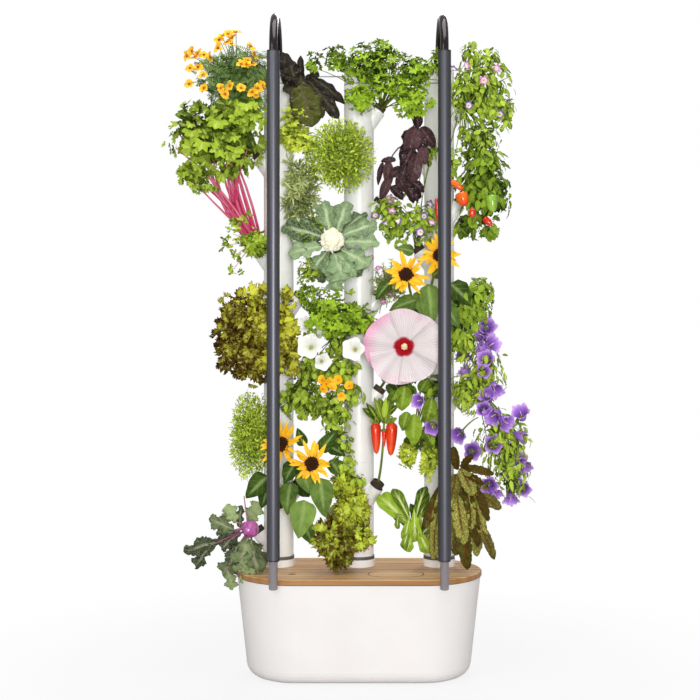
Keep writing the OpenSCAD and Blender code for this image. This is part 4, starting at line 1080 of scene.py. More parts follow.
# %% Sunflower heads
plant = Plant("sunflowers", 24)
heads = spot([281, 312, 406, 440], [444, 464, 275, 256], [-100, -104, -104, -96])
facing = unit(np.array([[-0.1, -1, 0.1], [0.08, -1, 0.12], [-0.05, -1, 0.1], [0.15, -1, 0.2]]))
rays = Bunch()
for count, start, lean, long in ((17, 15, 0.08, 45), (13, 13, 0.35, 36)):
    base, along, face = wheel(heads, facing, count, start, lean, plant.some(0, 6, len(heads)))
    along, count = unit(along + 0.24 * plant.shake(along)), len(base)
    rays.add(blades(base, along, square_to(along, face), long * plant.some(0.55, 1.1, count),
                    plant.some(8, 13, count), widest=0.42, full=0.75, rows=9, fold=0.4,
                    arch=plant.rng.normal(0.1, 0.6, count), wave=0.06), plant.some(0, 1, count))
yellow = petal_finish("sunflower_yellow", "#ce7a02", "#fac20a", "#fed21a", reach=(0.0, 0.4), streak="#e49a02",
                      streaks=5)
rays.make("sunflower_rays", yellow, "sunflowers")
material, place, along, slow = blade_finish("sunflower_seeds", "along", "slow")
seeds = place.node("TexVoronoi", {"Vector": place, "Scale": 420.0}, "Distance", feature="F1")
tone = seeds.step(0.2, 0.75).mix(along.step(0.4, 0.75).mix("#6e360a", "#3a1e0e"), "#221208")
complete(material, tone, slow * 0.2 + 0.7, seeds, 0.9, 0.0015, {"Specular IOR Level": 0.1}, invert=True)
dome = [8, 17, 20, 19, 14, 7, 0.2], [-5, -4, 1, 4.5, 6.5, 5.5, 4.5]
plant.solid("sunflower_discs", material, turned(heads - 3 * facing, facing, *dome, cols=24))

# %% [markdown]
# The leaves are hearts, large enough to be placed one by one. Two heads grow out of a port on the left, and two
# out of one on the right.

# %% Sunflower leaves and stalks
heart_leaf = leaf_finish("sunflower_leaf", "#20380e", "#7c984a", "#96ac6a", veins=5, rib_share=0.5, bump=0.9)
plant.sheet("sunflower_leaves", heart_leaf, *leaves_at([
    [320, 478, -76, 325, 518, -98, 56, 0.45], [304, 500, -78, 300, 540, -98, 64, 0.7],
    [291, 482, -70, 284, 514, -96, 50, 0.4], [268, 476, -66, 245, 497, -92, 54, 0.1],
    [320, 452, -80, 337, 428, -84, 36, 0.1], [296, 462, -70, 282, 482, -92, 46, 0.15],
    [300, 470, -70, 312, 494, -90, 40, 0.5], [300, 480, -20, 316, 496, 6, 60, 0.2],
    [280, 492, -20, 268, 512, 4, 56, 0.2], [302, 520, -60, 314, 546, -66, 40, 0.3],
    [328, 446, -60, 346, 454, -70, 34, 0.1], [304, 446, -60, 297, 428, -66, 28, 0.15],
    [330, 460, -60, 344, 478, -74, 38, 0.25], [268, 486, -50, 262, 508, -70, 40, 0.05],
    [416, 300, -80, 389, 308, -98, 40, 0.35], [428, 284, -80, 433, 326, -98, 50, 0.5],
    [450, 284, -70, 475, 303, -92, 60, 0.15], [420, 290, -70, 424, 318, -92, 42, 0.5],
    [440, 300, -70, 462, 326, -90, 46, 0.4], [425, 300, -20, 400, 318, 4, 52, 0.2],
    [440, 290, -20, 462, 312, 6, 54, 0.3], [432, 276, -60, 450, 264, -70, 30, 0.4],
    [414, 252, -60, 396, 246, -70, 30, 0.4], [390, 282, -60, 374, 298, -74, 34, 0.2],
    [410, 296, -70, 402, 314, -84, 34, 0.1]],
    rows=13, cols=9, widest=0.3, full=0.85, fold=0.15, arch=0.5, wave=0.05, quilt=0.06))
roots = np.array([port("left", 1)[0]] * 2 + [port("right", 4)[0]] * 2) + [0, 0, 8]
plant.solid("sunflower_stalks", green_stem,
            stalks(roots, (roots + heads) / 2 + [0, 40, 30], heads - 6 * facing, 3.6, 3.0, rows=10, cols=8))

# %% [markdown]
# ## Parsley
# Parsley leaves are small lobed fans in threes, on thin stems. Three fans at one place, sixty degrees apart,
# look like the real divided leaf and need no form of their own.

# %% Parsley
plant = Plant("parsley", 31)
leaflets, twigs = Bunch(), Bunch()
for root, table, leaf in (
        (port("centre", 9), [[370, 64, -55, 150, 112, 96, 190, -0.2], [413, 72, -50, 110, 104, 90, 120, -0.15],
                             [361, 97, -66, 84, 84, 84, 80, 0.3], [412, 99, -60, 96, 84, 92, 100, 0.2],
                             [313, 62, -20, 40, 40, 62, 16, -0.2], [336, 56, -30, 60, 50, 64, 30, -0.2],
                             [384, 50, -50, 80, 60, 44, 34, -0.1], [386, 84, -66, 110, 90, 50, 60, 0.1],
                             [438, 62, -20, 40, 50, 70, 22, -0.1]], 12.0),
        (port("centre", 4), [[334, 317, -62, 150, 96, 118, 210, 0.05],
                             [364, 322, -50, 74, 80, 80, 60, 0.1]], 13.0),
        (port("left", 5), [[313, 299, -6, 90, 70, 90, 60, -0.05], [306, 288, -20, 50, 40, 80, 24, 0.1]], 9.0)):
    places, along, face, tint = plant.crowns(table, low=0.3, high=0.98, lift=0.5, droop=0.25)
    across, count = np.cross(face, along), len(places)
    for turn in (-1.05, 0.0, 1.05):
        ways = unit(along * np.cos(turn) + across * np.sin(turn))
        leaflets.add(fans(places + 3 * ways, ways, face, leaf * plant.some(0.6, 1.25, count), spread=1.6, notch=0.5,
                          rows=3, ruffle=0.12), tint)
    tips = places[::14]
    twigs.rings(plant.twigs(root, tips, 1.6, 0.9, wide=6, rise=30), plant.some(0, 1, len(tips)))
leaflets.make("parsley_leaves", leaf_finish("parsley_green", "#1a3402", "#96b82a", "#a6c250", veins=2), "parsley")
twigs.make("parsley_stems", green_stem, "parsley")

# %% [markdown]
# ## Cauliflower
# The cauliflower's waxy leaves have pale ribs and stand round a cream curd. The curd is made of many small knobs
# on a golden-angle spiral over a dome. A bump on a ball would leave its outline smooth.

# %% Cauliflower
KNOBS = 60
plant = Plant("cauliflower", 32)
waxy = leaf_finish("cauliflower_waxy", "#2e461e", "#8aa474", "#c0cea4", "#58724c", rim=(0.8, 1.0),
                   rib_share=0.75, gloss=0.46, bump=0.8, net=0.25, sheen=(0.8, 1.0, 0.8))
plant.sheet("cauliflower_leaves", waxy, *leaves_at([
    [330, 233, -76, 324, 200, -86, 46, 0.5], [336, 233, -74, 348, 201, -88, 42, 0.55],
    [324, 237, -72, 281, 224, -82, 46, 0.0], [323, 246, -78, 287, 251, -90, 40, 0.8],
    [327, 252, -80, 312, 268, -90, 32, 0.45], [334, 253, -84, 346, 279, -98, 66, 0.95],
    [341, 250, -82, 372, 263, -94, 46, 0.85], [342, 242, -80, 380, 239, -90, 36, 0.7],
    [341, 236, -76, 377, 221, -86, 38, 0.55], [333, 270, -80, 337, 291, -88, 42, 0.6],
    [324, 236, -60, 302, 214, -66, 34, 0.2], [340, 234, -60, 364, 208, -62, 36, 0.3],
    [326, 240, -40, 290, 226, -22, 56, 0.2], [338, 246, -40, 366, 274, -30, 56, 0.3],
    [332, 232, -40, 336, 204, -26, 56, 0.4], [330, 250, -40, 316, 282, -30, 56, 0.2],
    [326, 256, -78, 330, 276, -92, 30, 0.7], [338, 254, -86, 358, 274, -98, 36, 0.9],
    [324, 244, -70, 298, 242, -78, 30, 0.2]],
    rows=23, cols=9, wave=0.14, waves=3.5, teeth=0.05, widest=0.62, full=0.42, fold=0.1, arch=0.5, lobe=0.24,
    quilt=0.09))
heart, i = spot(332, 240, -86), np.arange(KNOBS) + 0.5
up, turn = 1 - 1.2 * i / KNOBS, i * GOLDEN_ANGLE
ways = np.stack([np.sqrt(1 - up ** 2) * np.cos(turn), -up, np.sqrt(1 - up ** 2) * np.sin(turn)], -1)
bulge, dome = np.linspace(np.pi / 2 + 0.5, 0, 6), np.linspace(np.pi, 0.05, 9)
swell = plant.some(5.5, 9.5, KNOBS)[:, None]
seats = heart + plant.some(18, 23, (KNOBS, 1)) * ways
knobs = turned(seats, ways, swell * np.sin(bulge) + 0.1, swell * np.cos(bulge), cols=9)
Bunch().rings(knobs, plant.some(0, 1, KNOBS)).rings(
    turned(heart, [0, -1, 0], 21 * np.sin(dome), 21 * np.cos(dome), cols=18)).make(
    "cauliflower_curd", hard_finish("curd_cream", "#faf6e2", "#e2d8b2", 0.6, grain=500, bump=0.8), "cauliflower")
plant.solid("cauliflower_stalk", stem_finish("cauliflower_rib", "#aab682", "#ced6b0"),
            trunk(port("centre", 6), 50, heart + [0, 18, -4], 10, 12))
crown = plant.crowns([[306, 236, -56, 70, 60, 60, 70, 0], [310, 268, -50, 70, 60, 80, 80, 0.1],
                      [352, 262, -60, 60, 50, 50, 40, -0.1], [318, 222, -50, 50, 50, 40, 40, 0.1]])
grids, tint = plant.lobed(crown, (6, 13), lobes=5, rows=3)
plant.sheet("cauliflower_side_leaves", small_leaf, grids, tint * 0.8)

# %% [markdown]
# ## Pansies
# The pansies are a patch of orange at the front of a small bush. Their petals are round and overlap, so each one
# is a fan of a single lobe, where a blade would be pointed.

# %% Pansies
plant = Plant("pansy", 33)
centre, size = np.array([-58, -40, 655]), (92, 82, 130)
crown = plant.crowns([[335, 410, -40, 92, 82, 128, 190, 0], [352, 392, -40, 60, 60, 60, 50, 0.1]])
plant.sheet("pansy_leaves", small_leaf,
            *plant.leafy(crown, (13, 25), (8, 15), rows=9, teeth=0.1, arch=0.4, fold=0.2))
plant.stems("pansy_stems", green_stem, port("centre", 2), crown[0][:190:9], 2.0, 1.0)
heads = on_crown([[322, 380], [330, 382], [338, 380], [349, 386], [341, 396], [323, 389], [332, 388], [326, 384]],
                 centre, size, 18)
facing = unit([0, -1, 0.2] + 0.3 * plant.shake(heads))
base, along, face = wheel(heads, facing, 5, start=0.5, lean=0.35, spin=plant.some(0, 6, len(heads)))
petals = fans(base, along, face, plant.some(10, 14, len(base)), lobes=1, spread=0.95, notch=0.12, cols=9,
              ruffle=0.12)
orange = petal_finish("pansy_orange", "#d67c02", "#faba06", "#fece14", reach=(0.05, 0.3), streak="#dc8802")
plant.sheet("pansy_flowers", orange, petals, plant.some(0, 1, len(base)))
plant.solid("pansy_stalks", green_stem, flower_stalks(centre, heads, heads - facing, 1.1, 0.9))

# %% [markdown]
# ## Frilled lettuce
# This lettuce is the lowest plant in the middle, lime with brown tips. It has the frills of the leaf lettuce,
# but in several small crowns, because its outline in the picture is a chain of clumps.

# %% Frilled lettuce
plant = Plant("frilled_lettuce", 34)
frill = leaf_finish("frilled_green", "#423402", "#bcce3c", "#d2da7a", "#70401a", rim=(2, 3), tip=(0.76, 1.0),
                    veins=4)
crown = plant.crowns([
    [334, 538, -58, 104, 104, 96, 170, -0.33], [357, 534, -50, 70, 80, 84, 90, 0.02],
    [352, 504, -54, 84, 84, 88, 110, 0.25], [346, 486, -50, 60, 70, 70, 50, 0.4],
    [340, 556, -50, 56, 70, 56, 40, -0.3]], low=0.2, high=0.95, lift=0.3, droop=0.15)
plant.sheet("frilled_leaves", frill,
            *plant.lobed(crown, (13, 28), True, **FRILL, notch=0.3, ruffle=0.3, ruffles=12.0))
plant.stems("frilled_ribs", stem_finish("frilled_rib", "#ccd08c", "#b0ba5a"), port("centre", 0),
            crown[0][:420:14] * 0.6 + spot(341, 520, -50) * 0.4, 4.0, 2.2)
crown = plant.crowns([[345, 466, -50, 60, 70, 80, 70, 0.3], [344, 442, -44, 40, 50, 60, 34, -0.1],
                      [358, 482, -50, 40, 40, 40, 24, 0.4]])
plant.sheet("frilled_young_leaves", small_leaf,
            *plant.leafy(crown, (13, 24), (9, 16), widest=0.6, full=0.6, arch=0.5, wave=0.06))

# %% [markdown]
# ## Torenias
# The torenias trail: many small leaves with little two-coloured flowers, every third one pink. They grow in
# three places, so one loop makes all three and gathers them into the same pieces.

# %% Torenias
plant = Plant("torenias", 41)
leaves, twigs, heads = Bunch(), Bunch(), []
for root, table, flowers in (
        (port("centre", 7), [[397, 220, -12, 104, 86, 108, 240, 0.1], [386, 206, -20, 60, 60, 60, 60, 0.15]],
         [[390, 199], [375, 215], [384, 221], [392, 211], [418, 210], [400, 222], [417, 225], [430, 205]]),
        (port("right", 6), [[424, 222, -40, 80, 82, 100, 170, 0.1], [428, 150, -30, 50, 50, 60, 40, 0]],
         [[424, 216], [432, 222], [420, 232], [424, 146]]),
        (port("right", 9), [[484, 88, -34, 140, 112, 190, 420, 0], [470, 52, -34, 50, 50, 66, 40, 0.1],
                            [491, 56, -30, 50, 50, 60, 36, 0], [497, 108, -34, 84, 90, 100, 120, 0.1],
                            [478, 138, -34, 116, 96, 110, 200, -0.05], [508, 112, -34, 40, 60, 70, 40, 0.1],
                            [462, 92, -34, 60, 80, 150, 110, 0.05], [455, 160, -30, 50, 70, 60, 40, 0.2]],
         [[467, 65], [500, 114], [469, 105], [484, 80], [508, 104], [454, 68], [497, 68], [406, 78]])):
    crown = plant.crowns(table, low=0.3, lift=0.35, droop=0.5)
    leaves.add(*plant.leafy(crown, (12, 24), (7, 14), arch=0.45, wave=0.07, fold=0.2))
    tips = crown[0][::12]
    twigs.rings(plant.twigs(root, tips, 1.6, 0.9), plant.some(0, 1, len(tips)))
    middle, size = spot(*table[0][:3]), table[0][3:6]
    heads.append(on_crown(flowers, middle, size, 12))
    half = (heads[-1] + middle) / 2
    twigs.rings(stalks(half, half + [0, -6, 10], heads[-1] + [0, 8, 0], 1.0, 1.6, rows=5, cols=5))
leaves.make("torenia_leaves", leaf_finish("torenia_green", "#203c02", "#a4c03a", "#b6c85e", veins=4), "torenias")
twigs.make("torenia_stems", green_stem, "torenias")
heads = np.concatenate(heads)
count, pale = len(heads), np.arange(len(heads)) % 3 == 0
facing = unit([0, -1, 0.15] + 0.5 * plant.shake(heads))
horns = funnels(heads, facing, plant.some(11, 15, count), 14, pinch=0.4, rows=7, cols=20, flare=1.8, ruffle=0.14,
                spin=plant.some(0, 6, count))
for name, tone, chosen in (("torenia_flowers", "#42146c", ~pale), ("torenia_pink_flowers", "#ce6ea8", pale)):
    petal = petal_finish(name, "#e8d478", "#f4e8f0", tone, reach=(0.1, 0.35), ends=(0.5, 0.8))
    plant.solid(name, petal, horns[chosen], 0.8)

# %% [markdown]
# ## Hibiscus
# The hibiscus is the largest flower of the garden, a plate of five overlapping petals, white with fine veins,
# pink edges and a deep red eye. Each petal is turned a little about its length, so that it lies over the next
# one without cutting through it. The veins are finer than any mesh, so the finish draws them.

# %% Hibiscus
GRAINS = 60
plant = Plant("hibiscus", 42)
crown = bush(plant.rng, 60, (102, 28, 752), (86, 54, 104), low=0.3, high=1.1, lift=0.4)
plant.sheet("hibiscus_leaves", heart_leaf,
            *plant.leafy(crown, (22, 42), (16, 28), widest=0.35, rows=11, teeth=0.08, arch=0.5))
eye, facing = spot([404], 347, -102), unit(np.array([[0.03, -1, 0.06]]))
material, _, along, across, tint, slow, fine = blade_finish("hibiscus_petal", "along", "across", "tint", "slow",
                                                            "fine")
veins = (across * 130.0 + slow * 9.0).math("SINE").step(0.1, 1.0)
blush = (tint + slow * 0.5 - 0.25).step(0.2, 1.0) * along.step(0.55, 1.05)
tone = blush.mix("#d9d1d1", "#de9aba")
tone = (veins * along.step(1.0, 0.2) * 0.5 + 0.1 * slow).mix(tone, "#b89c9e")
tone = (along + fine * 0.05 + veins * 0.035).step(0.27, 0.225).mix(tone, "#a4021a")
complete(material, tone, fine * 0.15 + 0.45, veins + slow, 0.6, 0.0014, {"Specular IOR Level": 0.12})
base, along, face = wheel(eye, facing, 5, start=2.0, lean=0.05, spin=0.35)
face = unit(face + 0.13 * np.cross(face, along))
petals = fans(base, along, face, [91, 97, 93, 90, 96], lobes=1, spread=0.9, notch=0.08, rows=15, cols=41, dish=0.02,
              ruffle=0.045, ruffles=11.0, phase=[0, 2, 4, 1, 3])
plant.sheet("hibiscus_flower", material, petals, [0.5, 0.95, 0.5, 0.35, 0.35])
pin = eye + facing
plant.solid("hibiscus_column", stem_finish("hibiscus_cream", "#ce5a60", "#f0e0b4"),
            stalks(pin, pin + 18 * facing, pin + 30 * facing + [0, 0, -3], 2.6, 1.8, rows=8, cols=8))
up, bead = np.arange(GRAINS)[:, None] / GRAINS, np.linspace(0.02, np.pi - 0.02, 5)
out = square_to(np.broadcast_to(facing, (GRAINS, 3)), plant.rng.normal(size=(GRAINS, 3)))
dust = pin + facing * (12 + 18 * up) + 6.5 * np.sqrt(1.02 - up) * out
plant.solid("hibiscus_pollen", hard_finish("pollen_cream", "#f8eac4", "#e8d092", 0.8),
            turned(dust, facing, 2.3 * np.sin(bead), -2.3 * np.cos(bead), cols=6))
plant.solid("hibiscus_stem", green_stem, trunk(port("centre", 3), 60, eye - 4 * facing, 3.5, 3.0, rows=10, cols=8))
calyx = blades(*wheel(eye - 7 * facing, facing, 6, start=3, lean=-0.25), length=26, width=14)
plant.sheet("hibiscus_calyx", small_leaf, calyx)

# %% [markdown]
# ## Chillies
# The chillies hang on a small bush that can be pulled out with its pod, so all its pieces ride on the pod's
# body. A fruit is a turned profile with three shallow grooves. `SHARE` says how far along the fruit each ring of
# the profile is, and it serves the pepper bush too.

# %% Chillies
SHARE = np.array([0.0, 0.02, 0.1, 0.25, 0.45, 0.65, 0.82, 0.95, 1.0])
plant = Plant("chilli_pepper")
root = mouth, way = port("centre", 1, CHILLI_TURN)
plant.sheet("chilli_leaves", small_leaf, *leaves_at([
    [385, 424, -40, 391, 389, -60, 18, 0.35], [380, 424, -38, 368, 403, -58, 20, 0.1],
    [379, 418, -36, 363, 409, -52, 20, 0.2], [383, 422, -40, 375, 398, -58, 16, 0.4],
    [386, 416, -36, 397, 404, -54, 18, 0.15], [384, 412, -28, 379, 398, -34, 20, 0.3],
    [387, 414, -28, 393, 400, -32, 20, 0.7], [382, 420, -30, 371, 420, -48, 16, 0.5],
    [386, 424, -30, 396, 418, -46, 16, 0.6], [384, 418, -44, 386, 398, -62, 14, 0.8]],
    rows=9, cols=5, widest=0.4, full=0.85, fold=0.3, arch=0.5, wave=0.04))
fork = spot(384, 424, -38)
tips = spot([388, 376, 371, 379, 391, 381, 389], [404, 412, 413, 408, 410, 400, 402],
            [-50, -46, -44, -50, -46, -31, -30])
foot = stalks(mouth + PLUG_SEAT * way, mouth + 30 * way + [0, 0, 30], fork, 3.4, 2.6, rows=9, cols=7)
branches = stalks(fork, (fork + tips) / 2 + [0, 0, 4], tips, 1.6, 1.0, rows=5, cols=5)
Bunch().rings(foot).rings(branches).make("chilli_stems", green_stem, "chilli_pepper")
hangs = spot([375.5, 392, 384], [423, 423, 430], [-52, -54, -46])
hanging = np.array([[0.03, -0.06, -1], [-0.04, -0.05, -1], [0.0, -0.03, -1]])
girth = np.array([0.02, 0.7, 1.0, 1.0, 0.93, 0.8, 0.64, 0.4, 0.02])
thick, long = np.array([[12.5, 14.0, 5.5], [76, 80, 42]])[..., None]
plant.solid("chilli_fruits", fruit_finish("chilli_red", "#d82606", "#f25216", "#78821e", gloss=0.2),
            turned(hangs, hanging, thick * girth, long * SHARE, cols=18, lobes=3, groove=0.06), [0.3, 0.7, 0.5])
caps = [6.0, 9.5, 6.5, 2.4, 2.0, 1.6], [0, 1.5, 5, 8, 14, 20]
plant.solid("chilli_calyx", green_stem,
            turned(hangs + [0, 0, -4], -hanging, *caps, cols=10, lobes=5, groove=0.1))
plant.solid("chilli_stalks", green_stem,
            stalks(hangs + [0, 0, 14], hangs + [0, 6, 24], fork, 1.6, 1.6, rows=5, cols=5))
plugs("chilli_plug", [root], "chilli_pepper", True)

# %% [markdown]
# ## Purple basil
# The purple basil has dark, glossy, oval leaves that arch over. Every one of them is seen, so they come from a
# table, and the quilting between their veins is in the mesh.

# %% Purple basil
plant = Plant("purple_basil", 51)
purple = leaf_finish("basil_purple", "#180b0d", "#563c3c", "#604042", gloss=0.28, bump=1.0, net=0.15,
                     sheen=(1.0, 0.85, 0.9))
plant.sheet("purple_basil_leaves", purple, *leaves_at([
    [418, 128, -70, 417, 108, -80, 26, 0.1], [415, 127, -74, 409, 155, -90, 42, 0.7],
    [421, 127, -72, 434, 147, -86, 34, 0.4], [412, 148, -74, 401, 173, -88, 32, 0.1],
    [417, 154, -78, 412, 188, -92, 36, 0.6], [422, 147, -72, 425, 163, -88, 28, 0.9],
    [406, 164, -74, 397, 194, -86, 30, 0.15], [402, 168, -70, 389, 176, -84, 24, 0.3],
    [383, 162, -66, 376, 184, -80, 14, 0.1], [388, 161, -66, 389, 187, -84, 26, 0.6],
    [389, 178, -66, 381, 199, -80, 24, 0.5], [391, 186, -66, 404, 197, -84, 26, 0.05],
    [405, 182, -70, 417, 201, -84, 30, 0.2], [412, 182, -70, 425, 190, -82, 24, 0.1],
    [396, 160, -64, 381, 159, -76, 16, 0.3], [416, 132, -50, 400, 146, -30, 40, 0.2],
    [420, 150, -40, 436, 164, -20, 40, 0.2], [408, 168, -40, 392, 186, -20, 36, 0.2],
    [412, 186, -40, 424, 202, -20, 36, 0.2], [416, 136, -30, 424, 124, -6, 34, 0.3],
    [404, 160, -66, 413, 180, -84, 28, 0.1], [411, 140, -62, 400, 160, -76, 28, 0.05],
    [419, 134, -66, 426, 154, -80, 26, 0.15], [398, 176, -70, 408, 192, -86, 26, 0.4]],
    rows=21, cols=9, widest=0.42, full=0.72, fold=0.3, arch=0.8, wave=0.06, quilt=0.12))
tips = spot([417, 410, 428, 388, 404, 414], [122, 146, 146, 164, 184, 176], -58)
dusky = stem_finish("basil_stem", "#603446", "#784c54")
plant.stems("purple_basil_stems", dusky, port("right", 8), tips, 2.8, 1.6)

# %% [markdown]
# ## Green basil
# The green basil has the same form of leaf. A few large leaves at the front come from a table, the rest fills
# crowns at two ports, and frilled lime leaves hang below.

# %% Green basil
plant = Plant("basil", plant.rng)  # goes on with the same draws
twigs, leaves = Bunch(), Bunch().add(*leaves_at([
    [405, 386, -94, 401, 411, -106, 42, 0.5], [432, 398, -80, 427, 425, -96, 36, 0.45],
    [415, 414, -96, 411, 446, -108, 44, 0.6], [420, 392, -70, 428, 378, -80, 28, 0.3],
    [424, 430, -80, 436, 446, -92, 36, 0.4], [408, 412, -92, 401, 430, -106, 32, 0.4],
    [412, 396, -40, 398, 384, -16, 40, 0.3], [424, 410, -40, 440, 404, -14, 42, 0.4],
    [416, 436, -40, 404, 456, -14, 42, 0.3], [430, 412, -70, 438, 430, -86, 30, 0.7],
    [398, 390, -94, 391, 403, -104, 26, 0.3]],
    rows=19, cols=9, widest=0.42, full=0.7, fold=0.15, arch=0.6, wave=0.05, quilt=0.12))
for root, table in (
        (port("right", 2), [[433, 437, -40, 68, 90, 140, 150, -0.1], [432, 386, -40, 70, 84, 60, 80, -0.1]]),
        (port("right", 5), [[474, 302, -32, 100, 96, 130, 240, 0.08], [482, 288, -40, 60, 60, 60, 50, 0.3],
                            [462, 330, -36, 70, 80, 90, 100, 0.03]])):
    crown = plant.crowns(table, high=0.97, droop=0.4)
    leaves.add(*plant.leafy(crown, (14, 28), (9, 17), widest=0.42, full=0.7, arch=0.6, wave=0.08, fold=0.2))
    twigs.rings(plant.twigs(root, crown[0][::12], 2.0, 1.1))
glossy_leaf = leaf_finish("basil_green", "#223a02", "#96b236", "#a0b858", rib_share=0.5, gloss=0.36, bump=1.0)
leaves.make("basil_leaves", glossy_leaf, "basil")
twigs.make("basil_stems", stem_finish("basil_red_stem", "#785c2c", "#828c32"), "basil")
crown = plant.crowns([[408, 454, -76, 44, 60, 60, 60, 0.15], [429, 460, -70, 42, 60, 96, 70, 0.1]],
                     low=0.3, high=0.95, droop=0.1)
plant.sheet("basil_frills", lime_leaf,
            *plant.lobed(crown, (9, 17), True, **FRILL, notch=0.3, ruffle=0.24, ruffles=10.0))

# %% [markdown]
# ## Bok choy
# The bok choy is a rosette of spoon leaves with pale ribs on a thick heart. A spoon is a blade that is widest
# near its tip. This plant, too, can be pulled out with its pod.

# %% Bok choy
plant, root = Plant("bok_choy"), port("right", 0)
spoon = leaf_finish("bok_choy_green", "#2a4604", "#92b030", "#ced890", veins=5, rib_share=0.95, gloss=0.34)
plant.sheet("bok_choy_leaves", spoon, *leaves_at([
    [413, 530, -60, 382, 492, -82, 46, 0.7], [412, 526, -66, 397, 487, -86, 28, 0.35],
    [415, 526, -58, 420, 486, -82, 28, 0.2], [417, 528, -54, 427, 492, -76, 22, 0.3],
    [409, 520, -66, 398, 512, -82, 10, 0.5], [399, 512, -82, 395, 531, -88, 14, 0.4],
    [410, 514, -68, 404, 542, -86, 24, 0.7], [411, 534, -62, 409, 552, -82, 24, 0.6],
    [417, 526, -62, 428, 556, -84, 32, 0.65], [414, 508, -72, 416, 546, -90, 34, 0.85],
    [418, 540, -66, 420, 512, -86, 20, 0.5], [409, 530, -64, 401, 549, -84, 20, 0.4],
    [414, 530, -40, 420, 498, -14, 44, 0.2], [410, 532, -40, 396, 504, -16, 44, 0.3],
    [418, 538, -46, 433, 546, -66, 26, 0.3], [418, 538, -50, 434, 522, -74, 26, 0.2]],
    rows=17, cols=9, widest=0.72, full=0.55, fold=0.35, arch=0.9, wave=0.09, quilt=0.08))
plant.solid("bok_choy_heart", stem_finish("bok_choy_white", "#8ca436", "#baca64"),
            trunk(root, 26, spot(413, 533, -56), 6.0, 13.0, rows=8, cols=10), 0.6)
plugs("bok_choy_plug", [root], "bok_choy", True)

# %% [markdown]
# ## Pepper bush
# The pepper bush carries small fruits of three colours. They are worked out as one set and then shared out by
# colour, because a piece has one finish.

# %% Pepper bush
plant = Plant("pepper_bush", 53)
crown = plant.crowns([
    [480, 186, -34, 134, 104, 190, 310, -0.08], [496, 190, -34, 70, 80, 110, 90, -0.15],
    [470, 222, -34, 80, 80, 70, 70, 0], [486, 160, -34, 90, 90, 80, 90, 0.05],
    [489, 228, -34, 40, 50, 50, 24, 0.1]], high=0.97, lift=0.35, droop=0.5)
pepper_leaf = leaf_finish("pepper_green", "#182e02", "#86a42c", "#92aa4a", veins=5, rib_share=0.5, gloss=0.34)
plant.sheet("pepper_leaves", pepper_leaf,
            *plant.leafy(crown, (17, 36), (9, 18), widest=0.42, full=0.7, arch=0.6, wave=0.07, fold=0.25))
plant.stems("pepper_stems", green_stem, port("right", 7), crown[0][:310:15], 2.6, 1.2)
hangs = np.concatenate([on_crown([[451, 181], [461, 193], [473, 209], [491, 195], [484, 218]], spot(482, 191, -34),
                                 (142, 104, 200), 12), spot([437], 198, -84)])
hanging = np.array([[0.8, -0.2, -0.6], [0.25, -0.2, -1], [-0.2, -0.1, -1], [0.1, -0.1, -1], [0.6, -0.2, -0.6],
                    [0.02, 0, -1]])
girth = np.array([0.05, 0.8, 1.0, 1.02, 0.98, 0.9, 0.72, 0.45, 0.05])
thick, long = np.array([[8, 15, 9, 14, 8, 6], [38, 34, 22, 42, 28, 55]])[..., None]
peppers = turned(hangs, hanging, thick * girth, long * SHARE, cols=16, lobes=4, groove=0.05)
for name, chosen, skin, blush in (("pepper_orange", [0, 1], "#f0780a", "#ec420c"),
                                  ("pepper_red", [2, 4, 5], "#be1e0a", "#e04018"),
                                  ("pepper_green", [3], "#62941a", "#98be3e")):
    plant.solid(name, fruit_finish(name + "_skin", skin, blush, "#608028"), peppers[chosen])

# %% [markdown]
# ## Bellflowers
# The bellflowers make the long violet cascade on the right. A bell is a funnel with a cup: it opens early, as a
# square root does, and flares once more at the rim. Each one has a thin stalk, five sepals and a pale pistil.

# %% Bellflowers
plant = Plant("bellflowers", 54)
centre, size = np.array([346, 2, 676]), (170, 120, 365)
crown = plant.crowns([
    [484, 372, -6, 110, 110, 190, 230, -0.05], [507, 448, -4, 126, 116, 210, 290, -0.05],
    [466, 392, -40, 76, 84, 110, 150, 0.15], [463, 345, -44, 70, 84, 100, 120, 0],
    [500, 436, -30, 120, 90, 110, 150, 0], [512, 478, -20, 90, 90, 120, 110, -0.05],
    [478, 380, -30, 80, 80, 110, 110, 0.05]], lift=0.35, droop=0.5)
plant.sheet("bellflower_leaves", small_leaf,
            *plant.leafy(crown, (15, 30), (5, 11), widest=0.4, full=0.75, arch=0.6, wave=0.08, fold=0.25))
plant.stems("bellflower_stems", green_stem, port("right", 3), crown[0][:520:18], 2.2, 1.0, reach=0.35)
heads = np.concatenate([on_crown([
    [488, 326], [479, 334], [494, 343], [460, 353], [485, 358], [462, 369], [484, 371], [486, 394], [495, 392],
    [484, 409], [491, 417], [520, 411], [508, 424], [525, 437], [494, 444], [473, 451], [457, 436], [521, 458],
    [525, 468], [512, 474], [518, 486], [489, 486], [524, 490], [496, 496], [511, 501], [479, 346]],
    centre, size, 14), spot([417, 432], [401, 428], [-104, -106])])
outward, count = unit((heads - centre) * [1.2, 1.0, 0.3]), len(heads)
facing = unit(0.6 * outward + [0, -0.6, -0.05] + 0.4 * plant.shake(heads))
facing[[14, 15]] = unit(np.array([0.05, -1, 0.1]))
bells = funnels(heads, facing, plant.some(20, 27, count), plant.some(33, 42, count), pinch=0.24, rows=10, flare=4.0,
                ruffle=0.14, spin=plant.some(0, 6, count), cup=0.62)
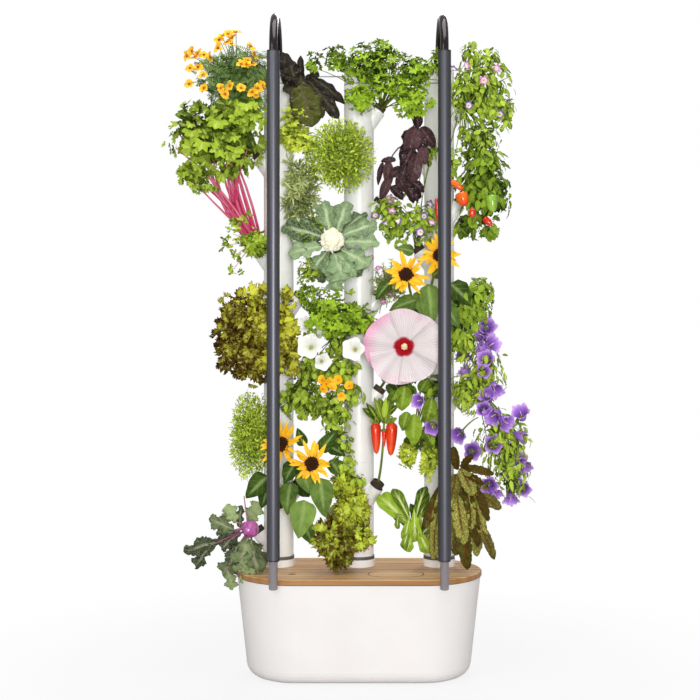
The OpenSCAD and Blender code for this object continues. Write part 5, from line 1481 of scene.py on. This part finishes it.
# Painted shade: the darker violet heart stands for the shade deep inside each bell.
violet = petal_finish("bell_violet", "#8450ba", "#aa78d2", "#d0ace8", reach=(0.1, 0.7), streak="#763eaa", streaks=5)
plant.solid("bellflower_bells", violet, bells, plant.some(0, 1, count))
inside, ends = heads - 10 * facing, heads - 36 * facing
plant.solid("bellflower_pistils", stem_finish("pistil_cream", "#dcdcaa", "#f0eed2"),
            stalks(inside - 14 * facing, inside, inside + 8 * facing, 1.4, 1.0, rows=5, cols=5))
back = centre * 0.45 + ends * 0.55
back[26:] = spot([420, 430], [410, 436], -40)
plant.solid("bellflower_stalks", green_stem,
            stalks(back, (back + ends) / 2 + [0, 0, 8], ends, 1.3, 2.4, rows=6, cols=5))
sepals = wheel(ends + 3 * facing, facing, 5, start=2.0, lean=0.9)
plant.sheet("bellflower_sepals", small_leaf, blades(*sepals, 14, 5, widest=0.35, rows=5, cols=3), 0.4)

# %% [markdown]
# ## Red sorrel
# The sorrel's long leaves show a dark red net of veins. The net is too fine for the mesh, so the edges of random
# cells draw it in the finish, while the crinkles between the veins are real.

# %% Red sorrel
plant = Plant("red_sorrel", 55)
veined = leaf_finish("sorrel_veined", "#303806", "#acb058", "#68261e", "#5c361a", rim=(0.8, 1.0), veins=8,
                     rib_share=0.8, bump=1.0, net=0.42)
plant.sheet("sorrel_leaves", veined, *leaves_at([
    [462, 467, -60, 494, 472, -84, 22, 0.15], [460, 468, -60, 475, 494, -90, 37, 0.7],
    [457, 494, -62, 462, 545, -96, 39, 1.0], [446, 478, -60, 432, 546, -92, 32, 0.8],
    [442, 484, -60, 424, 530, -88, 27, 0.2], [466, 480, -62, 478, 549, -94, 29, 0.15],
    [468, 482, -60, 489, 545, -90, 29, 0.8], [473, 484, -60, 492, 520, -86, 24, 0.1],
    [462, 515, -60, 466, 571, -92, 34, 0.2], [477, 518, -56, 497, 560, -80, 24, 0.3],
    [449, 500, -60, 448, 560, -92, 32, 0.4], [457, 470, -58, 453, 448, -78, 22, 0.05],
    [461, 468, -58, 471, 455, -80, 20, 0.1], [474, 506, -50, 480, 558, -70, 32, 0.6],
    [438, 500, -54, 428, 558, -80, 34, 0.6], [455, 476, -30, 446, 540, -4, 51, 0.3],
    [464, 478, -30, 478, 540, -6, 54, 0.4], [470, 480, -30, 494, 510, -6, 49, 0.5],
    [452, 490, -40, 440, 520, -20, 44, 0.5], [460, 500, -30, 464, 560, -10, 56, 0.4],
    [470, 488, -60, 470, 530, -88, 29, 0.8], [452, 480, -66, 444, 516, -90, 32, 0.7],
    [434, 520, -56, 436, 560, -84, 27, 0.75], [480, 494, -50, 502, 508, -66, 27, 0.4],
    [464, 474, -64, 484, 482, -84, 22, 0.1], [456, 474, -66, 452, 500, -90, 32, 0.35]],
    rows=23, cols=9, widest=0.52, full=0.45, fold=0.25, arch=0.45, wave=0.11, waves=5, quilt=0.15, teeth=0.04))
tips = spot([462, 455, 450, 466, 470, 447, 474], [472, 478, 482, 484, 490, 486, 504], -56)
plant.stems("sorrel_stems", stem_finish("sorrel_stem", "#80323c", "#8c5c46"), port("right", 1), tips, 2.6, 1.8)

# %% [markdown]
# ## Floor
# The floor is a large pale sheet that curves up behind the object, as a paper backdrop does. The camera sees it
# almost white, and it keeps the object's soft shadow. It is stage, not part of the object.

# %% Floor
FRONT, BACK, SWEEP, HALF_WIDE = -6, 3, 1.5, 7


def backdrop_sheet():
    """Floor: a line that runs back along Y, then sweeps up on a quarter circle, drawn out along X."""
    bend, x = np.linspace(0, np.pi / 2, 13), np.linspace(-HALF_WIDE, HALF_WIDE, 9)
    y = np.concatenate([np.linspace(FRONT, BACK, 12, endpoint=False), BACK + SWEEP * np.sin(bend)])
    z = np.concatenate([np.zeros(12), SWEEP - SWEEP * np.cos(bend)])
    return np.stack(np.broadcast_arrays(x, y[:, None], z[:, None]), -1)


sheet = backdrop_sheet()
index = np.arange(sheet[..., 0].size).reshape(sheet.shape[:2])
quads = np.stack([index[:-1, :-1], index[:-1, 1:], index[1:, 1:], index[1:, :-1]], -1).reshape(-1, 4)
floor = bpy.data.objects.new("floor", bpy.data.meshes.new("floor"))
floor.data.from_pydata(sheet.reshape(-1, 3).tolist(), [], quads.tolist())
scene.collection.objects.link(floor)
paper, place = new_finish("paper_white")
shader, surface = (paper.node_tree.nodes[name] for name in ("Principled BSDF", "Material Output"))
shader.inputs["Base Color"].default_value = (0.6, 0.6, 0.6, 1)
shader.inputs["Roughness"].default_value = 0.9
glow = place.node("Emission", {"Color": (1, 1, 1, 1), "Strength": 1.0})
far = place.node("VectorMath", {0: place}, "Value", operation="LENGTH").step(0.4, 1.3)
seen = place.node("LightPath", out="Is Camera Ray") * (far * 0.16 + 0.84)
blend = place.node("MixShader", {0: seen, 1: Wire(place.tree, shader.outputs[0]), 2: glow})
place.tree.links.new(blend.socket, surface.inputs["Surface"])
floor.data.materials.append(paper)
print("floor", sheet.shape)
